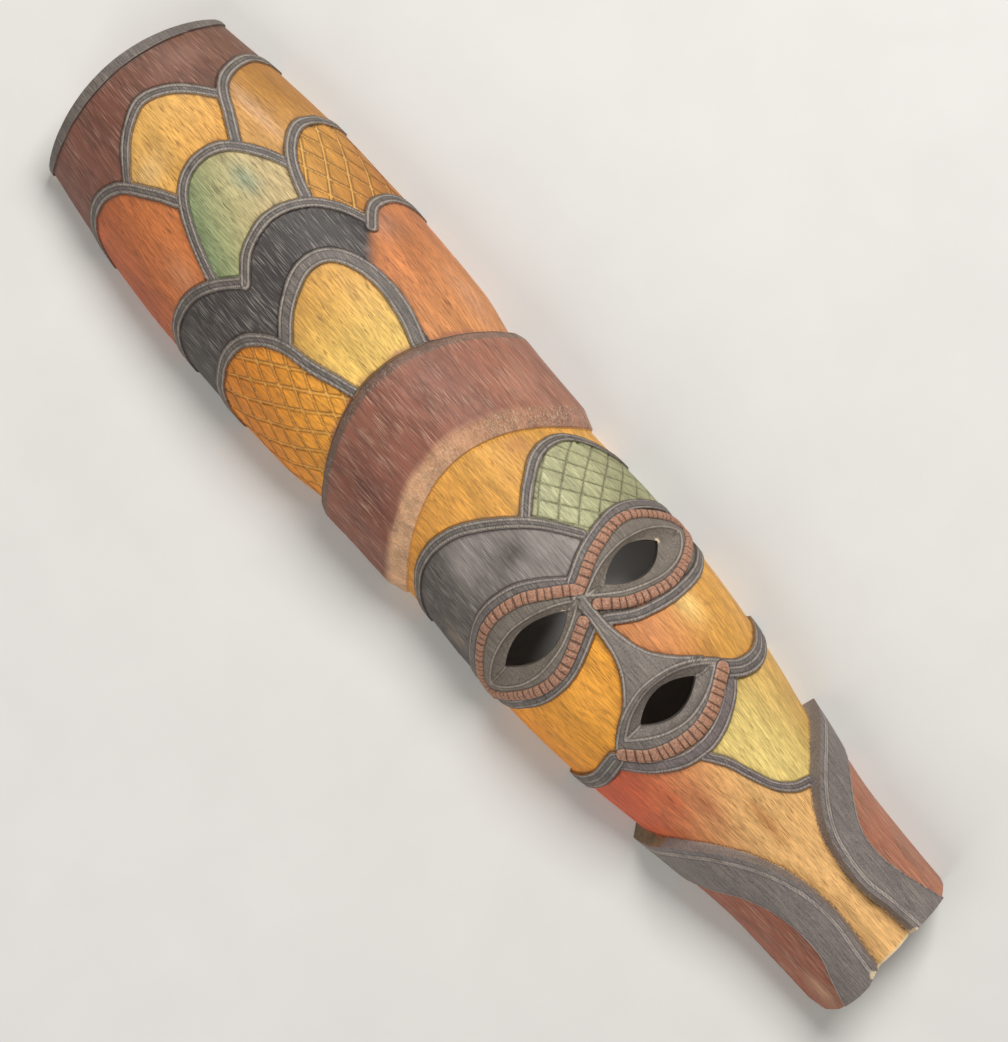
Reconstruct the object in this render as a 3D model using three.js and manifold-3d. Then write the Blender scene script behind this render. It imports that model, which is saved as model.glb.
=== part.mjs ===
// A long wooden face mask, carved from one block and lying on the flat rim of its hollow back.
// Millimetres. X runs across the mask, +Y to the crown of the head, +Z out of the face.
// The carving is laid out on a flat sheet, as on a drawing of the unrolled front: shares of the half
// girth across and shares of the length up. The sheet is then bent round the body of the mask.
import * as THREE from "three";
import { mergeVertices } from "three/addons/utils/BufferGeometryUtils.js";
import Module from "manifold-3d";

const wasm = await Module();
wasm.setup();

// Overall sizes
const LENGTH = 500;
const WIDTH = 116;
const DEPTH = 58;

// Thickness of the wood: the shell, and the two solid ends of the hollow
const WALL = 11;
const END_WALL = 18;

// Heights of the carving above the skin of the mask
const BAND_RISE = 4.3;
const BAND_EDGE = 4.4;
const BAND_EDGE_DROP = 1.6;
const BAND_BEVEL = 9;
const BAND_BEVEL_DROP = 3;
const BORDER_RISE = 0.9;
const BROW_RISE = 1.1;
const TOOTH_RISE = 2.1;
const EYE_RISE = 0.8;
const NOSE_RISE = 2;
const LIP_RISE = 1.5;
const CURL_RISE = 1.7;
const CHEEK_SWELL = 1.8;
const COLLAR_RIDGE_RISE = 6;
const COLLAR_SIDE_RISE = 4.6;

// Widths of the carved strips
const BORDER_WIDTH = 4.5;
const WIDE_BORDER_WIDTH = 6.6;
const LIP_BORDER_WIDTH = 6.5;
const BROW_WIDTH = 6.2;
const TOOTH_ROW_WIDTH = 5;
const WIDE_TOOTH_ROW_WIDTH = 6.4;
const UNDER_EYE_WIDTH = 5;
const CURL_WIDTH = 8;
const RIM_WIDTH = 4.5;

// Teeth of the rope-like rows
const TOOTH_PITCH = 3.6;
const NOTCH_WIDTH = 1.2;
const NOTCH_DEPTH = 1;

// Sloping edge round the eyes and the mouth
const SOCKET_DEPTH = 2.6;
const SOCKET_FLARE = 1.35;

// Fineness of the facets
const COLUMNS = 16;
const ROW_LENGTH = 25;
const CURVE_STEP = 9;
const SLIVER = 0.06;
const ROOT = 1;
const OVERRUN = 12;
const PINCH = 1e-3;
const STEEP = 0.9;

// Half the girth of the widest section, which is the half width of the flat sheet.
const GIRTH = (Math.PI / 4) * (WIDTH / 2 + DEPTH) * 0.96;

// Body of the mask from the bottom edge (level 0) to the top edge (level 1). The columns are the level,
// the half width as a share of WIDTH / 2, the height of the crest as a share of DEPTH, and how far the
// sides lag behind the crest, as a share of LENGTH.
const SECTIONS = [
  [0, 0.578, 0.62, 0],
  [0.1, 0.607, 0.655, 0],
  [0.19, 0.716, 0.793, 0],
  [0.27, 0.834, 0.922, 0],
  [0.35, 0.903, 0.991, 0.003],
  [0.4, 0.919, 1, 0.01],
  [0.45, 0.929, 0.991, 0.024],
  [0.5, 0.917, 0.983, 0.042],
  [0.56, 0.897, 0.983, 0.056],
  [0.65, 0.914, 0.983, 0.05],
  [0.7, 0.983, 1, 0.045],
  [0.77, 1, 0.983, 0.039],
  [0.85, 0.986, 0.905, 0.033],
  [0.93, 0.924, 0.802, 0.027],
  [1, 0.831, 0.69, 0.022],
];

// Band between the headdress and the face, as levels of its two edges.
const BAND = { bottom: 0.558, top: 0.656 };

// Arches of the headdress scales, as [share across, level] points on the middle of each dark border.
const SCALES = {
  top_centre: [[-0.33, 0.92], [-0.18, 0.944], [0, 0.958], [0.18, 0.949], [0.35, 0.924]],
  top_left: [[-1.1, 0.9], [-0.83, 0.932], [-0.6, 0.939], [-0.4, 0.928], [-0.27, 0.902], [-0.18, 0.876]],
  top_right: [[0.2, 0.876], [0.29, 0.906], [0.4, 0.936], [0.6, 0.951], [0.8, 0.952], [1.1, 0.936]],
  green: [[-0.31, 0.806], [-0.24, 0.844], [-0.13, 0.877], [0, 0.888], [0.15, 0.885], [0.27, 0.866], [0.36, 0.84]],
  mid_right: [[0.28, 0.806], [0.36, 0.845], [0.5, 0.872], [0.7, 0.88], [1.1, 0.866]],
  black_left: [[-1.1, 0.796], [-0.82, 0.823], [-0.6, 0.828], [-0.38, 0.817], [-0.18, 0.787]],
  black_centre: [[-0.19, 0.786], [-0.08, 0.803], [0.1, 0.813], [0.28, 0.807], [0.4, 0.791], [0.48, 0.77]],
  low_right: [[0.45, 0.768], [0.55, 0.787], [0.7, 0.793], [0.88, 0.787], [1.1, 0.765]],
  low_left: [[-1.1, 0.735], [-0.85, 0.767], [-0.6, 0.774], [-0.4, 0.764], [-0.27, 0.736], [-0.21, 0.695], [-0.14, 0.65]],
};
const WIDE_SCALE = [[-0.25, 0.728], [-0.1, 0.748], [0.07, 0.762], [0.21, 0.756], [0.29, 0.728], [0.29, 0.69], [0.24, 0.65]];

// Borders on the forehead and the band that winds down the chin.
const FOREHEAD = {
  left_arch: [[-1.1, 0.51], [-0.85, 0.538], [-0.6, 0.545], [-0.35, 0.531], [-0.1, 0.503], [0.1, 0.474], [0.23, 0.446]],
  right_arch: [[0.06, 0.483], [0.2, 0.508], [0.36, 0.533], [0.55, 0.546], [0.75, 0.536], [1.1, 0.49]],
};
const CHIN_BAND = [[-0.08, 0.243], [0.03, 0.221], [0.09, 0.2], [0.16, 0.18], [0.28, 0.165], [0.44, 0.158]];

// Lines of the two eyes: middle of the brow, rows of teeth above and below, the strip under them, and
// the almonds of the plate between the rows, of the hole and of the rim that slopes into it.
const EYES = {
  left: {
    brow: [[-1.1, 0.4], [-0.8, 0.435], [-0.5, 0.455], [-0.25, 0.449], [-0.08, 0.432], [0.04, 0.416]],
    upper_teeth: [[-1, 0.395], [-0.8, 0.423], [-0.5, 0.446], [-0.25, 0.441], [-0.08, 0.424], [0.02, 0.413]],
    lower_teeth: [[-0.95, 0.405], [-0.75, 0.388], [-0.5, 0.371], [-0.3, 0.369], [-0.05, 0.388]],
    under: [[-1.1, 0.404], [-0.81, 0.38], [-0.5, 0.363], [-0.28, 0.363], [-0.04, 0.38]],
    plate: { from: [-0.97, 0.4], to: [0.03, 0.402], rise: 0.045, drop: 0.032 },
    hole: { from: [-0.57, 0.408], to: [-0.07, 0.403], rise: 0.0135, drop: 0.0175 },
    rim: { from: [-0.8, 0.407], to: [0, 0.404], rise: 0.021, drop: 0.025 },
  },
  right: {
    brow: [[0.04, 0.418], [0.24, 0.436], [0.5, 0.449], [0.75, 0.439], [1.1, 0.405]],
    upper_teeth: [[0.04, 0.411], [0.25, 0.43], [0.47, 0.44], [0.69, 0.427], [1, 0.395]],
    lower_teeth: [[0.06, 0.391], [0.2, 0.375], [0.42, 0.366], [0.62, 0.371], [0.95, 0.39]],
    under: [[0.04, 0.377], [0.2, 0.362], [0.45, 0.355], [0.73, 0.36], [1.1, 0.38]],
    plate: { from: [0.01, 0.401], to: [0.97, 0.396], rise: 0.041, drop: 0.033 },
    hole: { from: [0.15, 0.4], to: [0.57, 0.402], rise: 0.015, drop: 0.017 },
    rim: { from: [0.04, 0.403], to: [0.84, 0.397], rise: 0.021, drop: 0.025 },
  },
};

// Nose: from the crossing of the eye rims it widens down to the upper lip.
const NOSE = {
  left: [[-0.02, 0.41], [-0.03, 0.374], [-0.07, 0.342], [-0.15, 0.32], [-0.3, 0.296]],
  right: [[0.3, 0.3], [0.15, 0.322], [0.07, 0.344], [0.035, 0.374], [0.04, 0.41]],
};

// Mouth: plate of the lips, hole, rim, the row of teeth below and the border under it.
const MOUTH = {
  hole: { from: [-0.2, 0.291], to: [0.21, 0.292], rise: 0.0135, drop: 0.0135 },
  rim: { from: [-0.31, 0.29], to: [0.33, 0.289], rise: 0.021, drop: 0.02 },
  plate: { from: [-0.4, 0.288], to: [0.38, 0.288], rise: 0.029, drop: 0.031 },
  teeth: [[-0.38, 0.281], [-0.25, 0.265], [-0.04, 0.257], [0.15, 0.262], [0.35, 0.281]],
  border: [[-0.46, 0.279], [-0.3, 0.257], [-0.1, 0.244], [0.1, 0.246], [0.28, 0.26], [0.38, 0.275]],
};
const CURLS = {
  left: [[-1.1, 0.29], [-0.85, 0.281], [-0.65, 0.277], [-0.44, 0.282]],
  right: [[0.36, 0.28], [0.47, 0.27], [0.62, 0.267], [0.8, 0.273], [1.1, 0.29]],
};

// Cheeks: middle and half reach of the two swellings, in shares across and up.
const CHEEKS = [
  { centre: [-0.5, 0.325], reach: [0.46, 0.05] },
  { centre: [0.5, 0.32], reach: [0.46, 0.05] },
];

// Collar: inner and outer edge of the dark ridge on each side of the neck, from the tip downwards.
const COLLAR = {
  left: {
    inner: [[-1.1, 0.222], [-0.96, 0.212], [-0.6, 0.19], [-0.34, 0.157], [-0.16, 0.112], [-0.09, 0.065], [-0.12, 0.02], [-0.16, -0.03]],
    outer: [[-1.1, 0.172], [-0.89, 0.158], [-0.55, 0.123], [-0.4, 0.085], [-0.38, 0.045], [-0.46, 0.018], [-0.6, -0.03]],
  },
  right: {
    inner: [[1.1, 0.212], [0.97, 0.2], [0.6, 0.178], [0.36, 0.15], [0.21, 0.115], [0.17, 0.07], [0.22, 0.032], [0.3, -0.03]],
    outer: [[1.1, 0.168], [0.97, 0.158], [0.65, 0.133], [0.46, 0.105], [0.42, 0.075], [0.52, 0.035], [0.8, -0.03]],
  },
};

// Bottom edge seen from the front, as [x, y] shares of WIDTH / 2 and LENGTH, where the collar ends a
// little lower on the left than the neck does, and both corners are worn round.
const BOTTOM_EDGE = [
  [-0.8, -0.47], [-0.655, -0.488], [-0.62, -0.501], [-0.54, -0.5055], [-0.36, -0.5045], [-0.25, -0.502],
  [-0.15, -0.496], [0.1, -0.495], [0.28, -0.4925], [0.55, -0.493], [0.64, -0.489], [0.68, -0.478], [0.8, -0.465],
];

// Smooth value between the rows of a table, without overshoot (monotone cubic interpolation).
function smoothValue(rows, column, place) {
  const slope = (i) => (rows[i + 1][column] - rows[i][column]) / (rows[i + 1][0] - rows[i][0]);
  const tangent = (i) => {
    if (i === 0) return slope(0);
    if (i === rows.length - 1) return slope(i - 1);
    const before = slope(i - 1);
    const after = slope(i);
    return before * after > 0 ? (2 * before * after) / (before + after) : 0;
  };
  let k = 0;
  while (k < rows.length - 2 && place > rows[k + 1][0]) k += 1;
  const span = rows[k + 1][0] - rows[k][0];
  const t = (place - rows[k][0]) / span;
  const start = rows[k][column] * (1 + 2 * t) * (1 - t) ** 2 + tangent(k) * span * t * (1 - t) ** 2;
  const end = rows[k + 1][column] * t * t * (3 - 2 * t) + tangent(k + 1) * span * t * t * (t - 1);
  return start + end;
}

// Swelling of the cheeks, the only relief that is rounded rather than cut in steps.
function cheekSwell(share, level) {
  let swell = 0;
  for (const { centre, reach } of CHEEKS) {
    const away = Math.hypot((share - centre[0]) / reach[0], (level - centre[1]) / reach[1]);
    if (away < 1) swell += CHEEK_SWELL * (1 - away * away) ** 2;
  }
  return swell;
}

// Bends a point of the flat sheet (mm across, mm up, mm above the skin) round the body of the mask.
function bend([across, up, height]) {
  const share = across / GIRTH;
  const level = up / LENGTH;
  const turn = (share * Math.PI) / 2;
  const halfWidth = (smoothValue(SECTIONS, 1, level) * WIDTH) / 2;
  const crest = smoothValue(SECTIONS, 2, level) * DEPTH;
  const lag = smoothValue(SECTIONS, 3, level) * LENGTH;
  const outward = new THREE.Vector2(Math.sin(turn) / halfWidth, Math.cos(turn) / crest).normalize();
  const lift = height > -WALL / 2 ? height + cheekSwell(share, level) : height;
  return [
    halfWidth * Math.sin(turn) + lift * outward.x,
    up - LENGTH / 2 - lag * Math.sin(turn) ** 2,
    crest * Math.cos(turn) + lift * outward.y,
  ];
}

// A closed three.js geometry as a solid that can be joined and cut.
function solidOf(geometry) {
  const bare = geometry.clone();
  bare.deleteAttribute("normal");
  bare.deleteAttribute("uv");
  const merged = mergeVertices(bare, 1e-4);
  return new wasm.Manifold(
    new wasm.Mesh({
      numProp: 3,
      vertProperties: Float32Array.from(merged.attributes.position.array),
      triVerts: Uint32Array.from(merged.index.array),
    }),
  );
}

function joinAll(solids) {
  return solids.reduce((whole, piece) => whole.add(piece));
}

// Sheet position in millimetres of a [share across, level] point.
function onSheet([share, level]) {
  return new THREE.Vector2(share * GIRTH, level * LENGTH);
}

// Smooth curve through a few points, as evenly spaced points on the sheet.
function curveOnSheet(points) {
  const curve = new THREE.SplineCurve(points.map(onSheet));
  return curve.getSpacedPoints(Math.max(4, Math.round(curve.getLength() / CURVE_STEP)));
}

// An upright solid over a closed outline, between two heights.
function upright(outline, bottom, top) {
  const geometry = new THREE.ExtrudeGeometry(new THREE.Shape(outline), {
    depth: top - bottom,
    bevelEnabled: false,
  });
  geometry.translate(0, 0, bottom);
  return solidOf(geometry);
}

// A strip of constant width along a curve, standing up from the skin by rise.
function strip(points, width, rise) {
  const line = curveOnSheet(points);
  const sides = [[], []];
  line.forEach((point, i) => {
    const before = line[Math.max(0, i - 1)];
    const after = line[Math.min(line.length - 1, i + 1)];
    const along = after.clone().sub(before).normalize();
    const across = new THREE.Vector2(-along.y, along.x).multiplyScalar(width / 2);
    sides[0].push(point.clone().add(across));
    sides[1].push(point.clone().sub(across));
  });
  return upright([...sides[0], ...sides[1].reverse()], -ROOT, rise);
}

// Area between two curves that run the same way.
function areaBetween(first, second, rise) {
  return upright([...curveOnSheet(first), ...curveOnSheet(second).reverse()], -ROOT, rise);
}

// Almond outline between two corners, with a bow above and a bow below.
function almond({ from, to, rise, drop }, scale = 1) {
  const outline = [];
  const count = 14;
  for (let i = 0; i < 2 * count; i += 1) {
    const above = i < count;
    const t = (above ? i : 2 * count - i) / count;
    const s = (2 * t - 1) * scale;
    const bow = (above ? rise : -drop) * scale * (1 - (2 * t - 1) ** 2);
    const share = (from[0] + to[0]) / 2 + (s * (to[0] - from[0])) / 2;
    const level = (from[1] + to[1]) / 2 + (s * (to[1] - from[1])) / 2 + bow;
    outline.push([share, level]);
  }
  return outline;
}

// Row of teeth: a ridge with a notch across it at every pitch.
function teethRow(points, width) {
  const ridge = strip(points, width, TOOTH_RISE);
  const curve = new THREE.SplineCurve(points.map(onSheet));
  const count = Math.round(curve.getLength() / TOOTH_PITCH);
  const notches = [];
  for (let i = 1; i < count; i += 1) {
    const at = curve.getPointAt(i / count);
    const along = curve.getTangentAt(i / count);
    const notch = new THREE.Shape([
      new THREE.Vector2(0, -NOTCH_DEPTH),
      new THREE.Vector2(NOTCH_WIDTH / 2, SLIVER),
      new THREE.Vector2(-NOTCH_WIDTH / 2, SLIVER),
    ]);
    const reach = width + ROOT;
    const geometry = new THREE.ExtrudeGeometry(notch, { depth: reach, bevelEnabled: false });
    geometry.translate(0, 0, -reach / 2);
    geometry.rotateX(Math.PI / 2);
    geometry.rotateZ(Math.atan2(along.y, along.x));
    geometry.translate(at.x, at.y, TOOTH_RISE);
    notches.push(solidOf(geometry));
  }
  return ridge.subtract(joinAll(notches));
}

// Raised band across the whole front, with a narrow sloped edge above and a wide bevel below.
function bandAcross() {
  const bottom = BAND.bottom * LENGTH;
  const top = BAND.top * LENGTH;
  const profile = new THREE.Shape([
    new THREE.Vector2(bottom, -ROOT),
    new THREE.Vector2(top, -ROOT),
    new THREE.Vector2(top, BAND_RISE - BAND_EDGE_DROP),
    new THREE.Vector2(top - BAND_EDGE, BAND_RISE),
    new THREE.Vector2(bottom + BAND_BEVEL, BAND_RISE),
    new THREE.Vector2(bottom, BAND_RISE - BAND_BEVEL_DROP),
  ]);
  const geometry = new THREE.ExtrudeGeometry(profile, { depth: 2 * GIRTH + OVERRUN, bevelEnabled: false });
  geometry.rotateX(Math.PI / 2);
  geometry.rotateZ(Math.PI / 2);
  geometry.translate(-GIRTH - OVERRUN / 2, 0, 0);
  return solidOf(geometry);
}

// Slab of the wall with all the raised carving on it, still flat.
function flatFront() {
  const corner = GIRTH + OVERRUN;
  const foot = -OVERRUN;
  const head = LENGTH + OVERRUN;
  const rectangle = (half, low, high) => [
    new THREE.Vector2(-half, low),
    new THREE.Vector2(half, low),
    new THREE.Vector2(half, high),
    new THREE.Vector2(-half, high),
  ];
  const pieces = [upright(rectangle(corner, foot, head), -WALL, 0), bandAcross()];
  pieces.push(upright(rectangle(corner, LENGTH - RIM_WIDTH, head), -ROOT, BORDER_RISE));
  for (const border of [...Object.values(SCALES), ...Object.values(FOREHEAD), CHIN_BAND]) {
    pieces.push(strip(border, BORDER_WIDTH, BORDER_RISE));
  }
  pieces.push(strip(WIDE_SCALE, WIDE_BORDER_WIDTH, BORDER_RISE));
  for (const eye of Object.values(EYES)) {
    pieces.push(strip(eye.brow, BROW_WIDTH, BROW_RISE));
    pieces.push(strip(eye.under, UNDER_EYE_WIDTH, BROW_RISE));
    pieces.push(upright(almond(eye.plate).map(onSheet), -ROOT, EYE_RISE));
    pieces.push(teethRow(eye.upper_teeth, TOOTH_ROW_WIDTH));
    pieces.push(teethRow(eye.lower_teeth, TOOTH_ROW_WIDTH));
  }
  pieces.push(upright([...curveOnSheet(NOSE.left), ...curveOnSheet(NOSE.right)], -ROOT, NOSE_RISE));
  pieces.push(upright(almond(MOUTH.plate).map(onSheet), -ROOT, LIP_RISE));
  pieces.push(strip(MOUTH.border, LIP_BORDER_WIDTH, BROW_RISE));
  pieces.push(teethRow(MOUTH.teeth, WIDE_TOOTH_ROW_WIDTH));
  for (const curl of Object.values(CURLS)) pieces.push(strip(curl, CURL_WIDTH, CURL_RISE));
  for (const { inner, outer } of Object.values(COLLAR)) {
    pieces.push(areaBetween(inner, outer, COLLAR_RIDGE_RISE));
    const side = Math.sign(inner[0][0]) * corner;
    const skirt = [...curveOnSheet(inner), new THREE.Vector2(side, foot)];
    pieces.push(upright(skirt, -ROOT, COLLAR_SIDE_RISE));
  }
  let front = joinAll(pieces);
  for (const { rim } of [EYES.left, EYES.right, MOUTH]) front = front.subtract(socket(rim));
  return front.intersect(upright(rectangle(GIRTH, foot, head), -WALL - ROOT, 3 * COLLAR_RIDGE_RISE));
}

// Sloping cut that narrows from the rim of an eye or the mouth down towards its hole.
function socket(rim) {
  const outline = almond(rim).map(onSheet);
  const middle = outline.reduce((sum, point) => sum.add(point), new THREE.Vector2()).divideScalar(outline.length);
  const top = TOOTH_RISE + ROOT;
  const bottom = EYE_RISE - SOCKET_DEPTH;
  const geometry = new THREE.ExtrudeGeometry(new THREE.Shape(outline), { depth: top - bottom, bevelEnabled: false });
  geometry.translate(0, 0, bottom);
  const places = geometry.attributes.position;
  for (let i = 0; i < places.count; i += 1) {
    if (places.getZ(i) > bottom + SLIVER) continue;
    places.setX(i, middle.x + (places.getX(i) - middle.x) / SOCKET_FLARE);
    places.setY(i, middle.y + (places.getY(i) - middle.y) / SOCKET_FLARE);
  }
  return solidOf(geometry);
}

// Cuts every triangle of a mesh along the plane where one coordinate has the given value.
function sliceAt({ points, faces }, axis, value) {
  const sides = points.map((point) => {
    const away = point[axis] - value;
    return Math.abs(away) < SLIVER ? 0 : Math.sign(away);
  });
  const made = new Map();
  const crossing = (i, j) => {
    const key = Math.min(i, j) + "," + Math.max(i, j);
    if (!made.has(key)) {
      const [low, high] = i < j ? [points[i], points[j]] : [points[j], points[i]];
      const t = (value - low[axis]) / (high[axis] - low[axis]);
      made.set(key, points.length);
      points.push(low.map((x, k) => x + t * (high[k] - x)));
    }
    return made.get(key);
  };
  const cut = [];
  for (const face of faces) {
    const polygons = { "-1": [], 1: [] };
    face.forEach((corner, k) => {
      const next = face[(k + 1) % 3];
      if (sides[corner] <= 0) polygons["-1"].push(corner);
      if (sides[corner] >= 0) polygons[1].push(corner);
      if (sides[corner] * sides[next] < 0) {
        const middle = crossing(corner, next);
        polygons["-1"].push(middle);
        polygons[1].push(middle);
      }
    });
    const whole = !face.some((corner) => sides[corner] < 0) || !face.some((corner) => sides[corner] > 0);
    if (whole) {
      cut.push(face);
      continue;
    }
    for (const polygon of Object.values(polygons)) {
      for (let k = 1; k < polygon.length - 1; k += 1) cut.push([polygon[0], polygon[k], polygon[k + 1]]);
    }
  }
  return { points, faces: cut };
}

// Loops of corners round a patch of triangles, each edge taken in the direction of its own triangle.
function outlinesOf(patch) {
  const edges = patch.flatMap(([a, b, c]) => [[a, b], [b, c], [c, a]]);
  const known = new Set(edges.map(([a, b]) => a + "," + b));
  const following = new Map();
  for (const [a, b] of edges) {
    if (known.has(b + "," + a)) continue;
    following.set(a, [...(following.get(a) ?? []), b]);
  }
  const loops = [];
  for (const start of following.keys()) {
    const loop = [];
    for (let at = start; following.get(at).length > 0; at = following.get(at).pop()) loop.push(at);
    if (loop.length > 0) loops.push(loop);
  }
  return loops;
}

// Splits triangles into patches that hang together by their edges.
function patchesOf(faces) {
  const owner = new Map();
  faces.forEach(([a, b, c], i) => [[a, b], [b, c], [c, a]].forEach(([p, q]) => owner.set(p + "," + q, i)));
  const seen = new Set();
  const patches = [];
  faces.forEach((_, first) => {
    if (seen.has(first)) return;
    const patch = [];
    const queue = [first];
    seen.add(first);
    while (queue.length > 0) {
      const [a, b, c] = faces[queue.pop()];
      patch.push([a, b, c]);
      for (const [p, q] of [[a, b], [b, c], [c, a]]) {
        const next = owner.get(q + "," + p);
        if (next === undefined || seen.has(next)) continue;
        seen.add(next);
        queue.push(next);
      }
    }
    patches.push(patch);
  });
  return patches;
}

// Slicing leaves long thin triangles. Each flat patch inside one cell of the grid is filled again from
// its outline, without the corners that only slicing made. A corner stays where two planes meet or where
// a column crosses a row. A wall that stands along a column or a row isn't divided by it.
function refillFaces({ points, faces }, columnWidth, rowLength) {
  const onLine = (value, step) => Math.abs(value - Math.round(value / step) * step) < 2 * SLIVER;
  const planesAt = points.map(() => new Map());
  const cells = new Map();
  for (const face of faces) {
    const { normal, constant } = planeOf(points, face);
    const plane = [...normal.toArray().map((x) => Math.round(x * 500)), Math.round(constant * 20)].join();
    for (const corner of face) planesAt[corner].set(plane, normal);
    const middle = [0, 1].map((k) => face.reduce((sum, corner) => sum + points[corner][k], 0) / 3);
    const column = Math.abs(normal.x) < STEEP ? Math.floor(middle[0] / columnWidth) : "";
    const row = Math.abs(normal.y) < STEEP ? Math.floor(middle[1] / rowLength) : "";
    const key = [column, row, plane].join();
    if (!cells.has(key)) cells.set(key, { normal, faces: [] });
    cells.get(key).faces.push(face);
  }
  const forced = new Set();
  const kept = (corner) => {
    if (forced.has(corner) || planesAt[corner].size > 1) return true;
    const [normal] = planesAt[corner].values();
    const [x, y] = points[corner];
    const onColumn = Math.abs(normal.x) < STEEP && onLine(x, columnWidth);
    const onRow = Math.abs(normal.y) < STEEP && onLine(y, rowLength);
    return onColumn === onRow;
  };
  // A patch whose outline touches itself keeps its own triangles, so its neighbours keep its corners too.
  const patches = [...cells.values()].flatMap(({ normal, faces: flat }) =>
    patchesOf(flat).map((patch) => ({ patch, normal, whole: false })),
  );
  let filled = [];
  for (let settled = false; !settled; ) {
    settled = true;
    filled = [];
    for (const item of patches) {
      const made = item.whole ? item.patch : refill(points, item.patch, kept, item.normal);
      if (made) {
        filled.push(...made);
        continue;
      }
      item.whole = true;
      item.patch.flat().forEach((corner) => forced.add(corner));
      settled = false;
    }
  }
  return { points, faces: filled };
}

function planeOf(points, face) {
  const triangle = new THREE.Triangle(...face.map((corner) => new THREE.Vector3(...points[corner])));
  return triangle.getPlane(new THREE.Plane());
}

// One flat patch, filled from its outline. While it is filled, its sides are bent inwards a little, so
// that corners along a side are all used and no triangle lies flat along it.
function refill(points, patch, kept, normal) {
  const loops = outlinesOf(patch).map((loop) => loop.filter(kept)).filter((loop) => loop.length > 2);
  const turn = new THREE.Quaternion().setFromUnitVectors(normal, new THREE.Vector3(0, 0, 1));
  const flat = (corner) => {
    const { x, y } = new THREE.Vector3(...points[corner]).applyQuaternion(turn);
    return new THREE.Vector2(x, y);
  };
  const box = new THREE.Box2().setFromPoints(loops.flat().map(flat));
  const centre = box.getCenter(new THREE.Vector2());
  const half = box.getSize(new THREE.Vector2()).divideScalar(2);
  const pinched = (corner) => {
    const { x, y } = flat(corner).sub(centre).divide(half);
    return new THREE.Vector2(x * (1 + PINCH * y * y), y * (1 + PINCH * x * x)).multiply(half);
  };
  const area = (loop) => Math.abs(THREE.ShapeUtils.area(loop.map(pinched)));
  const sized = loops.sort((a, b) => area(b) - area(a));
  if (sized.length === 0) return [];
  const [outline, ...gaps] = sized.map((loop) => loop.map(pinched));
  const corners = sized.flat();
  const made = THREE.ShapeUtils.triangulateShape(outline, gaps).map((face) => face.map((k) => corners[k]));
  const wanted = corners.length + 2 * gaps.length - 2;
  return made.length === wanted && new Set(corners).size === corners.length ? made : null;
}

function meshOf(solid) {
  const { numProp, numVert, vertProperties, triVerts } = solid.getMesh();
  const points = [];
  for (let i = 0; i < numVert; i += 1) {
    points.push(Array.from(vertProperties.subarray(i * numProp, i * numProp + 3)));
  }
  const faces = [];
  for (let i = 0; i < triVerts.length; i += 3) faces.push(Array.from(triVerts.subarray(i, i + 3)));
  return { points, faces };
}

function geometryOf({ points, faces }) {
  const geometry = new THREE.BufferGeometry();
  geometry.setAttribute("position", new THREE.BufferAttribute(new Float32Array(points.flat()), 3));
  geometry.setIndex(faces.flat());
  return geometry;
}

// The flat front, cut into columns and rows so that it can follow the body, and bent round it.
function bentFront() {
  let mesh = meshOf(flatFront());
  const columnWidth = (GIRTH + GIRTH) / COLUMNS;
  for (let i = 1; i < COLUMNS; i += 1) mesh = sliceAt(mesh, 0, i * columnWidth - GIRTH);
  const rows = Math.round(LENGTH / ROW_LENGTH);
  for (let i = 0; i <= rows; i += 1) mesh = sliceAt(mesh, 1, (LENGTH * i) / rows);
  mesh = refillFaces(mesh, columnWidth, LENGTH / rows);
  mesh.points = mesh.points.map(bend);
  return solidOf(geometryOf(mesh));
}

// Solid wood left at one end of the hollow, reaching from outside the end to its inner face.
function solidEnd(level, inner, outer) {
  const halfWidth = (smoothValue(SECTIONS, 1, level) * WIDTH) / 2 - WALL / 2;
  const crest = smoothValue(SECTIONS, 2, level) * DEPTH - WALL / 2;
  const section = new THREE.Shape();
  section.absellipse(0, 0, halfWidth, crest, 0, Math.PI, false);
  const geometry = new THREE.ExtrudeGeometry(section, {
    depth: Math.abs(outer - inner),
    bevelEnabled: false,
    curveSegments: COLUMNS,
  });
  geometry.rotateX(Math.PI / 2);
  geometry.translate(0, Math.max(inner, outer), 0);
  return solidOf(geometry);
}

// Everything inside the two end edges, as a tall block over the outline seen from the front.
function sawnOutline() {
  const half = WIDTH / 2;
  const topHalf = smoothValue(SECTIONS, 1, 1) * half;
  const topLag = smoothValue(SECTIONS, 3, 1) * LENGTH;
  const outline = BOTTOM_EDGE.map(([x, y]) => new THREE.Vector2(x * half, y * LENGTH));
  outline.unshift(new THREE.Vector2(-2 * half, BOTTOM_EDGE[0][1] * LENGTH));
  outline.push(new THREE.Vector2(2 * half, BOTTOM_EDGE.at(-1)[1] * LENGTH));
  for (let i = COLUMNS; i >= -COLUMNS; i -= 1) {
    const x = (2 * half * i) / COLUMNS;
    outline.push(new THREE.Vector2(x, LENGTH / 2 - topLag * (x / topHalf) ** 2));
  }
  return upright(outline, -ROOT, 2 * DEPTH);
}

// Hole of an eye or the mouth, straight through the wall from front to back.
function throughHole(hole) {
  const outline = almond(hole).map((place) => {
    const flat = onSheet(place);
    const [x, y] = bend([flat.x, flat.y, 0]);
    return new THREE.Vector2(x, y);
  });
  return upright(outline, -ROOT, 2 * DEPTH);
}

function carvedMask() {
  const top = LENGTH / 2;
  let mask = bentFront()
    .add(solidEnd(1, top - END_WALL - smoothValue(SECTIONS, 3, 1) * LENGTH, top + OVERRUN))
    .add(solidEnd(0, -top - OVERRUN, -top + END_WALL))
    .intersect(sawnOutline());
  for (const { hole } of [EYES.left, EYES.right, MOUTH]) mask = mask.subtract(throughHole(hole));
  return geometryOf(meshOf(mask));
}

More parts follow.
